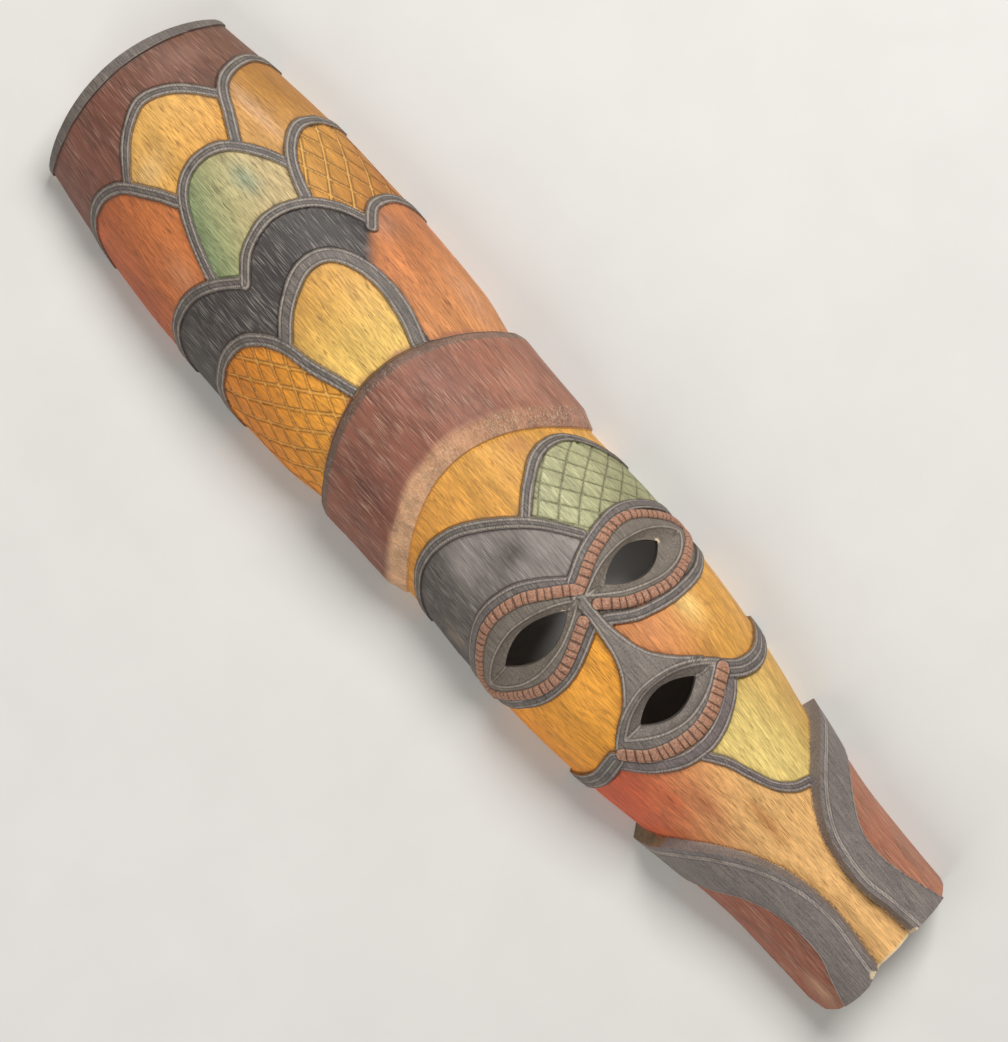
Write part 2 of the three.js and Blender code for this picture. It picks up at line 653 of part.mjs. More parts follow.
// The origin is under the middle of the mask, on the plane that its rim lies on.
function centred(geometry) {
  geometry.computeBoundingBox();
  const { min, max } = geometry.boundingBox;
  return geometry.translate(-(min.x + max.x) / 2, -(min.y + max.y) / 2, -min.z);
}

const stainedWood = new THREE.MeshStandardMaterial({ color: 0xa9743f, roughness: 0.6, metalness: 0 });
const mask = new THREE.Mesh(centred(carvedMask()), stainedWood);
mask.name = "carved_mask";

const group = new THREE.Group();
group.add(mask);
export default group;
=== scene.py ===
# %% [markdown]
# # A carved and stained wooden mask
#
# The mask is one piece of wood: a long hollow shell with a scaled headdress, a raised band, a face, a chin
# and a collar. A carver draws the pattern on the bent front, cuts the dark borders and the rows of teeth
# free with a gouge, and stains every field by hand. The lesson follows that order: first the body, then the
# drawing, then the cutting, then the stains.
#
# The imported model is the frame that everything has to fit, so it is loaded first, and its size is kept.

import math

import bmesh
import bpy
import numpy as np
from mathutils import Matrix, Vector, noise


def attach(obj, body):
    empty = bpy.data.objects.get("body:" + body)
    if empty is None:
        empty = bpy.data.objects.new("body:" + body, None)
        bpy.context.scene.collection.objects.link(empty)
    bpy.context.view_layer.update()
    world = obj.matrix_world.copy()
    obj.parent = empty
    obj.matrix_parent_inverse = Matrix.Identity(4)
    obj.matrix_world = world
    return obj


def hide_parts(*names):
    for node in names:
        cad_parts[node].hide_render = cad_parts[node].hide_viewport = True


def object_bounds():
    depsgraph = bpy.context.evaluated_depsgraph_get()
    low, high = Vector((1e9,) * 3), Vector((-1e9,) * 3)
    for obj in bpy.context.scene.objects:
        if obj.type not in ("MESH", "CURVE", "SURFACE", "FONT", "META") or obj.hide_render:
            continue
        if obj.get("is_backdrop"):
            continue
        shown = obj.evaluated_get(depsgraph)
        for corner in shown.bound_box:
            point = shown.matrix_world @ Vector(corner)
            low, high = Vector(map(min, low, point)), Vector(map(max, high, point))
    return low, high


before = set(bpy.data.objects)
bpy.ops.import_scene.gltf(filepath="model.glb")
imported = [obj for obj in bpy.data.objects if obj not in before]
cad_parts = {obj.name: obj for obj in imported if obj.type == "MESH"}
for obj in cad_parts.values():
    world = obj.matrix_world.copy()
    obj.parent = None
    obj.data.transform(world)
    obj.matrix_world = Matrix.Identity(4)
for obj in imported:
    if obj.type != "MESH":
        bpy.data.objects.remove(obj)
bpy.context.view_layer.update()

# %% [markdown]
# ## Sizes
#
# All sizes are in metres. The carving is laid out on a flat sheet, which is the front of the mask unrolled:
# a place is [share of the half girth across, level from 0 at the chin end to 1 at the crown]. One bend then
# rolls the sheet round the body. Working flat keeps every width true, as a paper pattern does.

# %% Sizes
MM = 0.001
LENGTH = 500 * MM
WIDTH = 116 * MM
DEPTH = 58 * MM
WALL = 11 * MM
END_WALL = 18 * MM
GIRTH = math.pi / 4 * (WIDTH / 2 + DEPTH) * 0.96
SHEET = np.array((GIRTH, LENGTH))

BORDER_RISE = 0.9 * MM
BROW_RISE = 1.1 * MM
TOOTH_RISE = 2.1 * MM
EYE_RISE = 0.8 * MM
NOSE_RISE = 2 * MM
LIP_RISE = 1.5 * MM
CURL_RISE = 1.7 * MM
CHEEK_SWELL = 1.8 * MM
BAND_RISE = 4.3 * MM
BAND_EDGE = 4.4 * MM
BAND_EDGE_DROP = 1.6 * MM
BAND_BEVEL = 9 * MM
BAND_BEVEL_DROP = 3 * MM
COLLAR_RIDGE_RISE = 6 * MM
COLLAR_SIDE_RISE = 4.6 * MM
SOCKET_FLOOR = -1.8 * MM
SOCKET_FLARE = 1.35

BORDER_WIDTH = 4.5 * MM
WIDE_BORDER_WIDTH = 6.6 * MM
LIP_BORDER_WIDTH = 6.5 * MM
BROW_WIDTH = 6.2 * MM
UNDER_EYE_WIDTH = 5 * MM
TOOTH_ROW_WIDTH = 5 * MM
WIDE_TOOTH_ROW_WIDTH = 6.4 * MM
CURL_WIDTH = 8 * MM
RIM_WIDTH = 4.5 * MM
TOOTH_PITCH = 3.6 * MM

# level, half width as a share of WIDTH / 2, crest as a share of DEPTH, lag of the sides as a share of LENGTH
SECTIONS = np.array([
    [0, 0.578, 0.62, 0], [0.1, 0.607, 0.655, 0], [0.19, 0.716, 0.793, 0], [0.27, 0.834, 0.922, 0],
    [0.35, 0.903, 0.991, 0.003], [0.4, 0.919, 1, 0.01], [0.45, 0.929, 0.991, 0.024],
    [0.5, 0.917, 0.983, 0.042], [0.56, 0.897, 0.983, 0.056], [0.65, 0.914, 0.983, 0.05],
    [0.7, 0.983, 1, 0.045], [0.77, 1, 0.983, 0.039], [0.85, 0.986, 0.905, 0.033],
    [0.93, 0.924, 0.802, 0.027], [1, 0.831, 0.69, 0.022],
])
CHEEKS = [((-0.5, 0.325), (0.46, 0.05)), ((0.5, 0.32), (0.46, 0.05))]

# The sawn bottom edge seen from the front, as shares of WIDTH / 2 and LENGTH: worn round at both corners.
BOTTOM_EDGE = np.array([
    [-0.8, -0.47], [-0.655, -0.488], [-0.62, -0.501], [-0.54, -0.5055], [-0.36, -0.5045], [-0.25, -0.502],
    [-0.15, -0.496], [0.1, -0.495], [0.28, -0.4925], [0.55, -0.493], [0.64, -0.489], [0.68, -0.478],
    [0.8, -0.465],
])
MIDDLE_SHIFT = -(0.5 + BOTTOM_EDGE[:, 1].min()) / 2 * LENGTH
print("sheet in mm:", np.round(2 * GIRTH / MM, 1), "by", LENGTH / MM)

# %% [markdown]
# ## The body of the mask
#
# Each cross section is close to half an ellipse that lies on its cut. Its half width and its height change
# slowly along the mask, so a short table with a smooth curve through it is enough. The curve must not swing
# past its rows, or the headdress would bulge between them, so it is a monotone one.

# %% Roll the sheet round the body
def section(column, level):
    """Smooth value of one column of SECTIONS at every level."""
    rows = SECTIONS[:, 0]
    values = SECTIONS[:, column]
    slopes = np.diff(values) / np.diff(rows)
    before, after = slopes[:-1], slopes[1:]
    with np.errstate(divide="ignore", invalid="ignore"):
        middle = np.where(before * after > 0, 2 * before * after / (before + after), 0)
    tangents = np.concatenate([slopes[:1], middle, slopes[-1:]])
    k = np.clip(np.searchsorted(rows, level, side="left") - 1, 0, len(rows) - 2)
    span = rows[k + 1] - rows[k]
    t = (level - rows[k]) / span
    start = values[k] * (1 + 2 * t) * (1 - t) ** 2 + tangents[k] * span * t * (1 - t) ** 2
    return start + values[k + 1] * t * t * (3 - 2 * t) + tangents[k + 1] * span * t * t * (t - 1)


def cheek_swell(share, level):
    """Soft swelling of the two cheeks."""
    swell = 0
    for centre, reach in CHEEKS:
        away = ((share - centre[0]) / reach[0]) ** 2 + ((level - centre[1]) / reach[1]) ** 2
        swell = swell + CHEEK_SWELL * np.clip(1 - away, 0, 1) ** 2
    return swell


def bend(sheet, height):
    """Places in space of places on the sheet at a height above the skin."""
    share, level = sheet[:, 0] / GIRTH, sheet[:, 1] / LENGTH
    turn = share * np.pi / 2
    half_width = section(1, level) * WIDTH / 2
    crest = section(2, level) * DEPTH
    lag = section(3, level) * LENGTH
    outward = np.column_stack([np.sin(turn) / half_width, np.cos(turn) / crest])
    outward /= np.linalg.norm(outward, axis=1)[:, None]
    lift = height + np.where(height > -WALL / 2, cheek_swell(share, level), 0)
    x = half_width * np.sin(turn) + lift * outward[:, 0]
    y = sheet[:, 1] - LENGTH / 2 - lag * np.sin(turn) ** 2 + MIDDLE_SHIFT
    z = crest * np.cos(turn) + lift * outward[:, 1]
    return np.column_stack([x, y, z])


corner = bend(np.array([[GIRTH, 0.0], [0.0, LENGTH]]), np.zeros(2))
print("chin corner and crown in mm:", np.round(corner / MM, 1).tolist())

# %% [markdown]
# ## The drawing
#
# These are the lines a carver would pencil on: the arches of the scales, the two arches on the forehead, the
# brows, the rows of teeth, the nose, the mouth and the collar. Each is a few places with a smooth curve
# through them, so a line can be moved by moving one place.

# %% Lines of the headdress and the forehead
SCALES = {
    "top_centre": [[-0.33, 0.92], [-0.18, 0.944], [0, 0.958], [0.18, 0.949], [0.35, 0.924]],
    "top_left": [[-1.1, 0.9], [-0.83, 0.932], [-0.6, 0.939], [-0.4, 0.928], [-0.27, 0.902], [-0.18, 0.876]],
    "top_right": [[0.2, 0.876], [0.29, 0.906], [0.4, 0.936], [0.6, 0.951], [0.8, 0.952], [1.1, 0.936]],
    "green": [[-0.31, 0.806], [-0.24, 0.844], [-0.13, 0.877], [0, 0.888], [0.15, 0.885], [0.27, 0.866],
              [0.36, 0.84]],
    "mid_right": [[0.28, 0.806], [0.36, 0.845], [0.5, 0.872], [0.7, 0.88], [1.1, 0.866]],
    "black_left": [[-1.1, 0.796], [-0.82, 0.823], [-0.6, 0.828], [-0.38, 0.817], [-0.18, 0.787]],
    "black_centre": [[-0.19, 0.786], [-0.08, 0.803], [0.1, 0.813], [0.28, 0.807], [0.4, 0.791],
                     [0.48, 0.77]],
    "low_right": [[0.45, 0.768], [0.55, 0.787], [0.7, 0.793], [0.88, 0.787], [1.1, 0.765]],
    "low_left": [[-1.1, 0.735], [-0.85, 0.767], [-0.6, 0.774], [-0.4, 0.764], [-0.27, 0.736],
                 [-0.21, 0.695], [-0.14, 0.65]],
}
WIDE_SCALE = [[-0.25, 0.728], [-0.1, 0.748], [0.07, 0.762], [0.21, 0.756], [0.29, 0.728], [0.29, 0.69],
              [0.24, 0.65]]
BAND_BOTTOM, BAND_TOP = 0.558 * LENGTH, 0.656 * LENGTH
FOREHEAD = {
    "left_arch": [[-1.1, 0.51], [-0.85, 0.538], [-0.6, 0.545], [-0.35, 0.531], [-0.1, 0.503], [0.1, 0.474],
                  [0.23, 0.446]],
    "right_arch": [[0.06, 0.483], [0.2, 0.508], [0.36, 0.533], [0.55, 0.546], [0.75, 0.536], [1.1, 0.49]],
}

# %% Lines of the face
# An almond is its left corner, its right corner and how far it bows up and down.
EYES = {
    "left": {
        "brow": [[-1.1, 0.4], [-0.8, 0.435], [-0.5, 0.455], [-0.25, 0.449], [-0.08, 0.432], [0.04, 0.416]],
        "upper": [[-1, 0.395], [-0.8, 0.423], [-0.5, 0.446], [-0.25, 0.441], [-0.08, 0.424], [0.02, 0.413]],
        "lower": [[-0.95, 0.405], [-0.75, 0.388], [-0.5, 0.371], [-0.3, 0.369], [-0.05, 0.388]],
        "under": [[-1.1, 0.404], [-0.81, 0.38], [-0.5, 0.363], [-0.28, 0.363], [-0.04, 0.38]],
        "plate": ((-0.97, 0.4), (0.03, 0.402), 0.045, 0.032),
        "hole": ((-0.57, 0.408), (-0.07, 0.403), 0.0135, 0.0175),
        "rim": ((-0.8, 0.407), (0, 0.404), 0.021, 0.025),
    },
    "right": {
        "brow": [[0.04, 0.418], [0.24, 0.436], [0.5, 0.449], [0.75, 0.439], [1.1, 0.405]],
        "upper": [[0.04, 0.411], [0.25, 0.43], [0.47, 0.44], [0.69, 0.427], [1, 0.395]],
        "lower": [[0.06, 0.391], [0.2, 0.375], [0.42, 0.366], [0.62, 0.371], [0.95, 0.39]],
        "under": [[0.04, 0.377], [0.2, 0.362], [0.45, 0.355], [0.73, 0.36], [1.1, 0.38]],
        "plate": ((0.01, 0.401), (0.97, 0.396), 0.041, 0.033),
        "hole": ((0.15, 0.4), (0.57, 0.402), 0.015, 0.017),
        "rim": ((0.04, 0.403), (0.84, 0.397), 0.021, 0.025),
    },
}
NOSE_LEFT = [[-0.02, 0.41], [-0.03, 0.374], [-0.07, 0.342], [-0.15, 0.32], [-0.3, 0.296]]
NOSE_RIGHT = [[0.3, 0.3], [0.15, 0.322], [0.07, 0.344], [0.035, 0.374], [0.04, 0.41]]
MOUTH = {
    "hole": ((-0.2, 0.291), (0.21, 0.292), 0.0135, 0.0135),
    "rim": ((-0.31, 0.29), (0.33, 0.289), 0.021, 0.02),
    "plate": ((-0.4, 0.288), (0.38, 0.288), 0.029, 0.031),
    "teeth": [[-0.38, 0.281], [-0.25, 0.265], [-0.04, 0.257], [0.15, 0.262], [0.35, 0.281]],
    "border": [[-0.46, 0.279], [-0.3, 0.257], [-0.1, 0.244], [0.1, 0.246], [0.28, 0.26], [0.38, 0.275]],
}
CURL_LEFT = [[-1.1, 0.29], [-0.85, 0.281], [-0.65, 0.277], [-0.44, 0.282]]
CURL_RIGHT = [[0.36, 0.28], [0.47, 0.27], [0.62, 0.267], [0.8, 0.273], [1.1, 0.29]]
CHIN_BAND = [[-0.08, 0.243], [0.03, 0.221], [0.09, 0.2], [0.16, 0.18], [0.28, 0.165], [0.44, 0.158]]
# Each half of the collar has an inner edge and an outer edge.
COLLAR = {
    "left": (
        [[-1.1, 0.222], [-0.96, 0.212], [-0.6, 0.19], [-0.34, 0.157], [-0.16, 0.112], [-0.09, 0.065],
         [-0.12, 0.02], [-0.16, -0.03]],
        [[-1.1, 0.172], [-0.89, 0.158], [-0.55, 0.123], [-0.4, 0.085], [-0.38, 0.045], [-0.46, 0.018],
         [-0.6, -0.03]],
    ),
    "right": (
        [[1.1, 0.212], [0.97, 0.2], [0.6, 0.178], [0.36, 0.15], [0.21, 0.115], [0.17, 0.07], [0.22, 0.032],
         [0.3, -0.03]],
        [[1.1, 0.168], [0.97, 0.158], [0.65, 0.133], [0.46, 0.105], [0.42, 0.075], [0.52, 0.035],
         [0.8, -0.03]],
    ),
}


# %% Smooth lines, outlines and distances
def smooth_line(places, spacing=1.5 * MM):
    """Evenly spaced points on the smooth curve through a few places."""
    knots = np.array(places, float) * SHEET
    padded = np.vstack([knots[:1], knots, knots[-1:]])
    t = np.linspace(0, 1, 40, endpoint=False)[:, None]
    pieces = []
    for a, b, c, d in zip(padded, padded[1:], padded[2:], padded[3:]):
        leave, arrive = (c - a) / 2, (d - b) / 2
        cubic, square = 2 * b - 2 * c + leave + arrive, 3 * c - 3 * b - 2 * leave - arrive
        pieces.append(cubic * t**3 + square * t**2 + leave * t + b)
    dense = np.vstack([*pieces, knots[-1:]])
    run = np.concatenate([[0], np.cumsum(np.linalg.norm(np.diff(dense, axis=0), axis=1))])
    even = np.linspace(0, run[-1], max(5, round(run[-1] / spacing)))
    return np.column_stack([np.interp(even, run, dense[:, k]) for k in (0, 1)])


def middle_and_half(start, end):
    """Middle between two places and half the way from one to the other."""
    return (np.array(start) + end) / 2, (np.array(end) - start) / 2


def almond(shape, size=1, count=48):
    """Outline of an almond between two corners, with a bow above and a bow below."""
    start, end, rise, drop = shape
    s = np.linspace(-1, 1, count + 1)[:-1]
    middle, half = middle_and_half(start, end)
    sides = []
    for along, bow in ((s, rise), (-s, -drop)):
        places = middle + size * along[:, None] * half
        places[:, 1] += size * bow * (1 - along**2)
        sides.append(places)
    outline = np.vstack(sides) * SHEET
    return np.vstack([outline, outline[:1]])


def almond_size(points, shape):
    """How many times larger than its outline an almond would have to be to reach each point."""
    start, end, rise, drop = shape
    middle, half = middle_and_half(start, end)
    place = points / SHEET - middle
    s = place[:, 0] / half[0]
    v = place[:, 1] - s * half[1]
    bow = np.where(v > 0, rise, drop)
    v = np.abs(v)
    return (v + np.sqrt(v**2 + 4 * (bow * s) ** 2)) / (2 * bow)


# Distance that is given to points which a line doesn't reach
FAR = 1.0


def measure(points, line, reach=8 * MM):
    """Distance, side, run along the line and the step to the line, for the points near it."""
    distance, side, run = np.full(len(points), FAR), np.ones(len(points)), np.zeros(len(points))
    step = np.zeros((len(points), 2))
    low, high = line.min(axis=0) - reach, line.max(axis=0) + reach
    near = np.flatnonzero(np.all((points > low) & (points < high), axis=1))
    starts, legs = line[:-1], np.diff(line, axis=0)
    lengths = np.linalg.norm(legs, axis=1)
    before = np.concatenate([[0], np.cumsum(lengths)])[:-1]
    for part in np.array_split(near, 1 + len(near) // 8000):
        if len(part) == 0:
            continue
        rows = np.arange(len(part))
        to_point = points[part, None] - starts
        share = np.clip((to_point * legs).sum(axis=2) / lengths**2, 0, 1)
        gap = to_point - share[..., None] * legs
        away = np.hypot(gap[..., 0], gap[..., 1])
        k = away.argmin(axis=1)
        distance[part] = away[rows, k]
        side[part] = np.sign(legs[k, 0] * to_point[rows, k, 1] - legs[k, 1] * to_point[rows, k, 0])
        run[part] = before[k] + share[rows, k] * lengths[k]
        step[part] = -gap[rows, k]
    return distance, side, run, step


def inside(points, outline):
    """Whether each point lies within a closed outline."""
    found = np.zeros(len(points), bool)
    low, high = outline.min(axis=0), outline.max(axis=0)
    near = np.flatnonzero(np.all((points > low) & (points < high), axis=1))
    x, y = points[near, 0], points[near, 1]
    odd = np.zeros(len(near), bool)
    for (ax, ay), (bx, by) in zip(outline, np.roll(outline, -1, axis=0)):
        if ay == by:
            continue
        crosses = (y < ay) != (y < by)
        odd ^= crosses & (x < ax + (y - ay) / (by - ay) * (bx - ax))
    found[near] = odd
    return found


# %% [markdown]
# ## What stands up and what is cut in
#
# Every border, brow and row of teeth is a strip of constant width along its line. The plates round the eyes,
# the nose, the lips and the collar are areas. For each of them one number is enough: how far a point lies
# inside its edge. From it come the steep side, the engraved line just inside the edge and, later, the stain.

# %% List the carved parts
def strip(kind, places, width, rise, field=None):
    """A strip of constant width. One that borders a field ends where a later field covers it."""
    return {"kind": kind, "line": smooth_line(places), "half": width / 2, "rise": rise, "field": field}


def area(kind, outline, rise):
    """A raised area inside a closed outline."""
    line = np.vstack([outline, outline[:1]])
    return {"kind": kind, "line": line, "half": None, "rise": rise, "field": None}


parts = []
for name, places in SCALES.items():
    parts.append(strip("border", places, BORDER_WIDTH, BORDER_RISE, name))
parts.insert(-1, strip("border", WIDE_SCALE, WIDE_BORDER_WIDTH, BORDER_RISE, "wide"))
for name in ("right_arch", "left_arch"):
    parts.append(strip("border", FOREHEAD[name], BORDER_WIDTH, BORDER_RISE, name))
parts.append(strip("chin", CHIN_BAND, BORDER_WIDTH, BORDER_RISE))
for eye in EYES.values():
    parts.append(area("plate", almond(eye["plate"])[:-1], EYE_RISE))
    parts.append(strip("brow", eye["brow"], BROW_WIDTH, BROW_RISE))
    parts.append(strip("brow", eye["under"], UNDER_EYE_WIDTH, BROW_RISE))
parts.append(area("nose", np.vstack([smooth_line(NOSE_LEFT), smooth_line(NOSE_RIGHT)]), NOSE_RISE))
parts.append(strip("chin", MOUTH["border"], LIP_BORDER_WIDTH, BROW_RISE))
parts.append(area("lip", almond(MOUTH["plate"])[:-1], LIP_RISE))
for places in (CURL_LEFT, CURL_RIGHT):
    parts.append(strip("curl", places, CURL_WIDTH, CURL_RISE))
for eye in EYES.values():
    for row in ("upper", "lower"):
        parts.append(strip("teeth", eye[row], TOOTH_ROW_WIDTH, TOOTH_RISE))
parts.append(strip("teeth", MOUTH["teeth"], WIDE_TOOTH_ROW_WIDTH, TOOTH_RISE))
sockets = [EYES["left"], EYES["right"], MOUTH]
print(len(parts), "carved parts,", len(sockets), "sockets")


def depth_inside(part, points, fields):
    """How far each point lies inside the edge of a part, the run along it and the step to its middle."""
    distance, side, run, step = measure(points, part["line"])
    if part["half"] is not None:
        depth = part["half"] - distance
    else:
        depth = np.where(inside(points, part["line"][:-1]), distance, -distance)
    covered = fields["collar"] > 0.3 * MM
    if part["field"] is not None:
        covered |= fields["layer"] > FIELD_LAYERS[part["field"]]
    return np.where(covered, -FAR, depth), run, np.where(covered[:, None], 0, step)


# %% [markdown]
# ## The collar
#
# The collar stands up to 6 mm proud of the neck, with a dark ridge along its inner edge and a lower field
# outside it. On the left tip the inner wall is cut as a slope, which the light catches.

# %% Depth inside the two edges of the collar
COLLAR_LINES = (3.3, 4.6)
SLOPED_TIP = 40 * MM


def collar_edges(points):
    """Depth inside the inner edge and past the outer edge of the collar, and the run along the inner.

    Only the left tip has a slope on its inner side, so the run on the right starts past that slope."""
    inner_depth, outer_depth = np.full(len(points), -FAR), np.full(len(points), -FAR)
    run = np.zeros(len(points))
    for side, (inner, outer) in zip((-1, 1), COLLAR.values()):
        for depth, places in ((inner_depth, inner), (outer_depth, outer)):
            line = smooth_line(places)
            outline = np.vstack([line, [[side * 1.3 * GIRTH, -0.1 * LENGTH]]])
            distance, _, along, _ = measure(points, line, reach=60 * MM)
            here = np.sign(points[:, 0]) == side
            depth[here] = np.where(inside(points, outline), distance, -distance)[here]
            if places is inner:
                run[here] = along[here] + (SLOPED_TIP if side > 0 else 0)
    return inner_depth, outer_depth, run


def slope(value, start, end):
    """0 up to start, 1 from end, and straight in between."""
    return np.clip((value - start) / (end - start), 0, 1)


def collar_foot(run):
    """How far the inner wall of the collar reaches out at its foot: steep, and a slope near the tips."""
    return (0.9 + 3 * slope(run, SLOPED_TIP, 12 * MM)) * MM


def collar_height(points):
    """Height of the collar: the ridge along its inner edge and the lower field outside it."""
    inner_depth, outer_depth, run = collar_edges(points)
    ridge = slope(inner_depth + collar_foot(run), 0, collar_foot(run))
    step_down = (COLLAR_RIDGE_RISE - COLLAR_SIDE_RISE) * slope(outer_depth, -0.3 * MM, 0.5 * MM)
    return ridge * (COLLAR_RIDGE_RISE - step_down)


# %% [markdown]
# ## Crossed grooves
#
# Two scales and half of the forehead are filled with crossed V grooves, cut at a steep slant, so that they
# leave small diamonds. A groove is a straight line on the sheet, and the distance to the nearest one of a
# family is a remainder, so no line has to be listed.

# %% Crossed grooves
GROOVE_HALF = 0.6 * MM
GROOVE_DEPTH = 0.6 * MM
# field: a crossing of two grooves as [share across, level], width and height of its diamonds in mm
HATCHES = {
    "mid_right": ((0.523, 0.806), (9.5, 16)),
    "low_left": ((-0.523, 0.745), (8.4, 13.6)),
    "right_arch": ((0.316, 0.492), (11.2, 12.6)),
}


def groove_place(points):
    """Places between the sheet and the view from the front, where the hand keeps its slant."""
    turn = points[:, 0] / GIRTH * np.pi / 2
    return np.column_stack([(points[:, 0] + WIDTH / 2 * np.sin(turn)) / 2, points[:, 1]])


def hatch_families(points, fields):
    """Signed distance to the nearest groove of each of the two slanted families, and its direction."""
    turn = points[:, 0] / GIRTH * np.pi / 2
    stretch = (1 + WIDTH / 2 * np.cos(turn) * np.pi / 2 / GIRTH) / 2
    families = []
    for lean in (1, -1):
        distance, direction = np.full(len(points), FAR), np.zeros((len(points), 2))
        for name, (crossing, (wide, tall)) in HATCHES.items():
            here = fields["number"] == FIELD_NAMES.index(name)
            normal = np.array((1 / wide, lean / tall)) / MM
            gradient = np.column_stack([normal[0] * stretch[here], np.full(here.sum(), normal[1])])
            size = np.linalg.norm(gradient, axis=1)
            start = groove_place(np.array([crossing]) * SHEET)
            lines = (groove_place(points[here]) - start) @ normal
            distance[here] = (lines - np.round(lines)) / size
            direction[here] = gradient / size[:, None]
        families.append((distance, direction))
    return families


# %% [markdown]
# ## The height of the carving
#
# All parts are raised from the same skin, so where two meet the higher one wins, as it does under the
# gouge. The teeth are rounded pads with a notch between each pair; hand work shows in the small differences
# from tooth to tooth. The sockets are the only cuts that go below the skin.

# %% Height of the carving at any point of the sheet
EDGE_RUN = 0.45 * MM
LINE_INSET = 0.85 * MM
CURL_LINE_INSET = 4 * MM
LINE_HALF = 0.5 * MM
LINE_DEPTH = 0.35 * MM
CROWN_RISE = 0.25 * MM
CROWN_REACH = 2.2 * MM
TOOTH_ROUNDING = 1.3 * MM
HARDLY_RAISED = 0.02 * MM


def wander(points, size, seed):
    """Soft noise between -1 and 1 that changes over the given size in metres."""
    scaled = points / size
    return np.array([noise.noise(Vector((x, y, seed))) for x, y in scaled])


def tooth_place(part, run):
    """Run along a row counted in teeth, with the small differences of a row cut by hand."""
    length = np.linalg.norm(np.diff(part["line"], axis=0), axis=1).sum()
    place = run / length * round(length / TOOTH_PITCH)
    return 0.5 + place + 0.14 * np.sin(2.3 * place)


def tooth_row(part, depth, run):
    """Rounded pads with a notch between each pair."""
    across = np.abs(tooth_place(part, run) % 1 - 0.5) * 2
    pad = 1 - 0.6 * slope(across, 0.5, 1) ** 2
    inner = slope(depth, 0, TOOTH_ROUNDING)
    return part["rise"] * (0.35 + 0.65 * np.sqrt(inner * (2 - inner)) * pad) * slope(depth, -EDGE_RUN, 0)


# Depths inside the edge at which a line is engraved in each kind of part
LINES = {kind: (LINE_INSET,) for kind in ("border", "brow", "chin", "nose", "lip")}
LINES |= {"curl": (LINE_INSET, CURL_LINE_INSET), "plate": (), "teeth": ()}


def engraved(part, depth):
    """Distance to the nearest engraved line of a part."""
    distance = np.full(len(depth), FAR)
    for inset in LINES[part["kind"]]:
        distance = np.minimum(distance, np.abs(depth - inset))
    return distance


def band_height(points):
    """Height of the raised band, with its sloped upper edge and its wide lower bevel."""
    up = points[:, 1]
    low, high = up - BAND_BOTTOM, BAND_TOP - up
    bevel = BAND_RISE - BAND_BEVEL_DROP * (1 - slope(low, 0, BAND_BEVEL))
    edge = BAND_RISE - BAND_EDGE_DROP * (1 - slope(high, 0, BAND_EDGE)) ** 1.5
    return np.minimum(bevel, edge) * slope(low, -EDGE_RUN, 0) * slope(high, -EDGE_RUN, 0)


def part_height(part, depth, run):
    """Height of one part, with its engraved lines."""
    if part["kind"] == "teeth":
        return tooth_row(part, depth, run)
    groove = LINE_DEPTH * np.clip(1 - engraved(part, depth) / LINE_HALF, 0, 1)
    crown = CROWN_RISE * slope(depth, LINE_INSET, CROWN_REACH) if part["kind"] in ("nose", "curl") else 0
    return np.clip(1 + depth / EDGE_RUN, 0, 1) * (part["rise"] - groove + crown)


def top_rim(points):
    """Depth inside the dark rim at the crown, which is narrower towards its ends."""
    return points[:, 1] - LENGTH + RIM_WIDTH * (1 - 0.6 * (points[:, 0] / GIRTH) ** 2)


def relief(points, fields):
    """Height of the carving above the skin. fields is what find_fields gives for the same points."""
    height = band_height(points)
    height = np.maximum(height, collar_height(points))
    height = np.maximum(height, BORDER_RISE * slope(top_rim(points), -EDGE_RUN, 0))
    for part in parts:
        depth, run, _ = depth_inside(part, points, fields)
        height = np.maximum(height, part_height(part, depth, run))
    for socket, top in zip(sockets, (EYE_RISE, EYE_RISE, LIP_RISE)):
        size = almond_size(points, socket["rim"])
        bowl = SOCKET_FLOOR + (top - SOCKET_FLOOR) * slope(size, 1 / SOCKET_FLARE, 1)
        height = np.where(size < 1, np.minimum(height, bowl), height)
    flat = height < HARDLY_RAISED
    for distance, _ in hatch_families(points, fields):
        cut = GROOVE_DEPTH * np.clip(1 - np.abs(distance) / GROOVE_HALF, 0, 1)
        height = np.where(flat, np.minimum(height, -cut), height)
    return height


# %% [markdown]
# ## The stained fields
#
# Each scale is the area below its own arch, and a lower scale covers the one above it, so the fields are
# laid over each other from the top down, as with cut paper. Where two fields meet, a border hides the seam.

# %% Lay out the fields
def below(places, floor, left=None, right=None):
    """Outline of the area under an arch, down to a level."""
    line = smooth_line(places)
    left = line[0, 0] if left is None else left * GIRTH
    right = line[-1, 0] if right is None else right * GIRTH
    return np.vstack([line, [[right, floor * LENGTH], [left, floor * LENGTH]]])


def stretch(low, high):
    """Outline of a stretch right across the sheet, between two levels."""
    return np.array([[-2 * GIRTH, low], [2 * GIRTH, low], [2 * GIRTH, high], [-2 * GIRTH, high]])


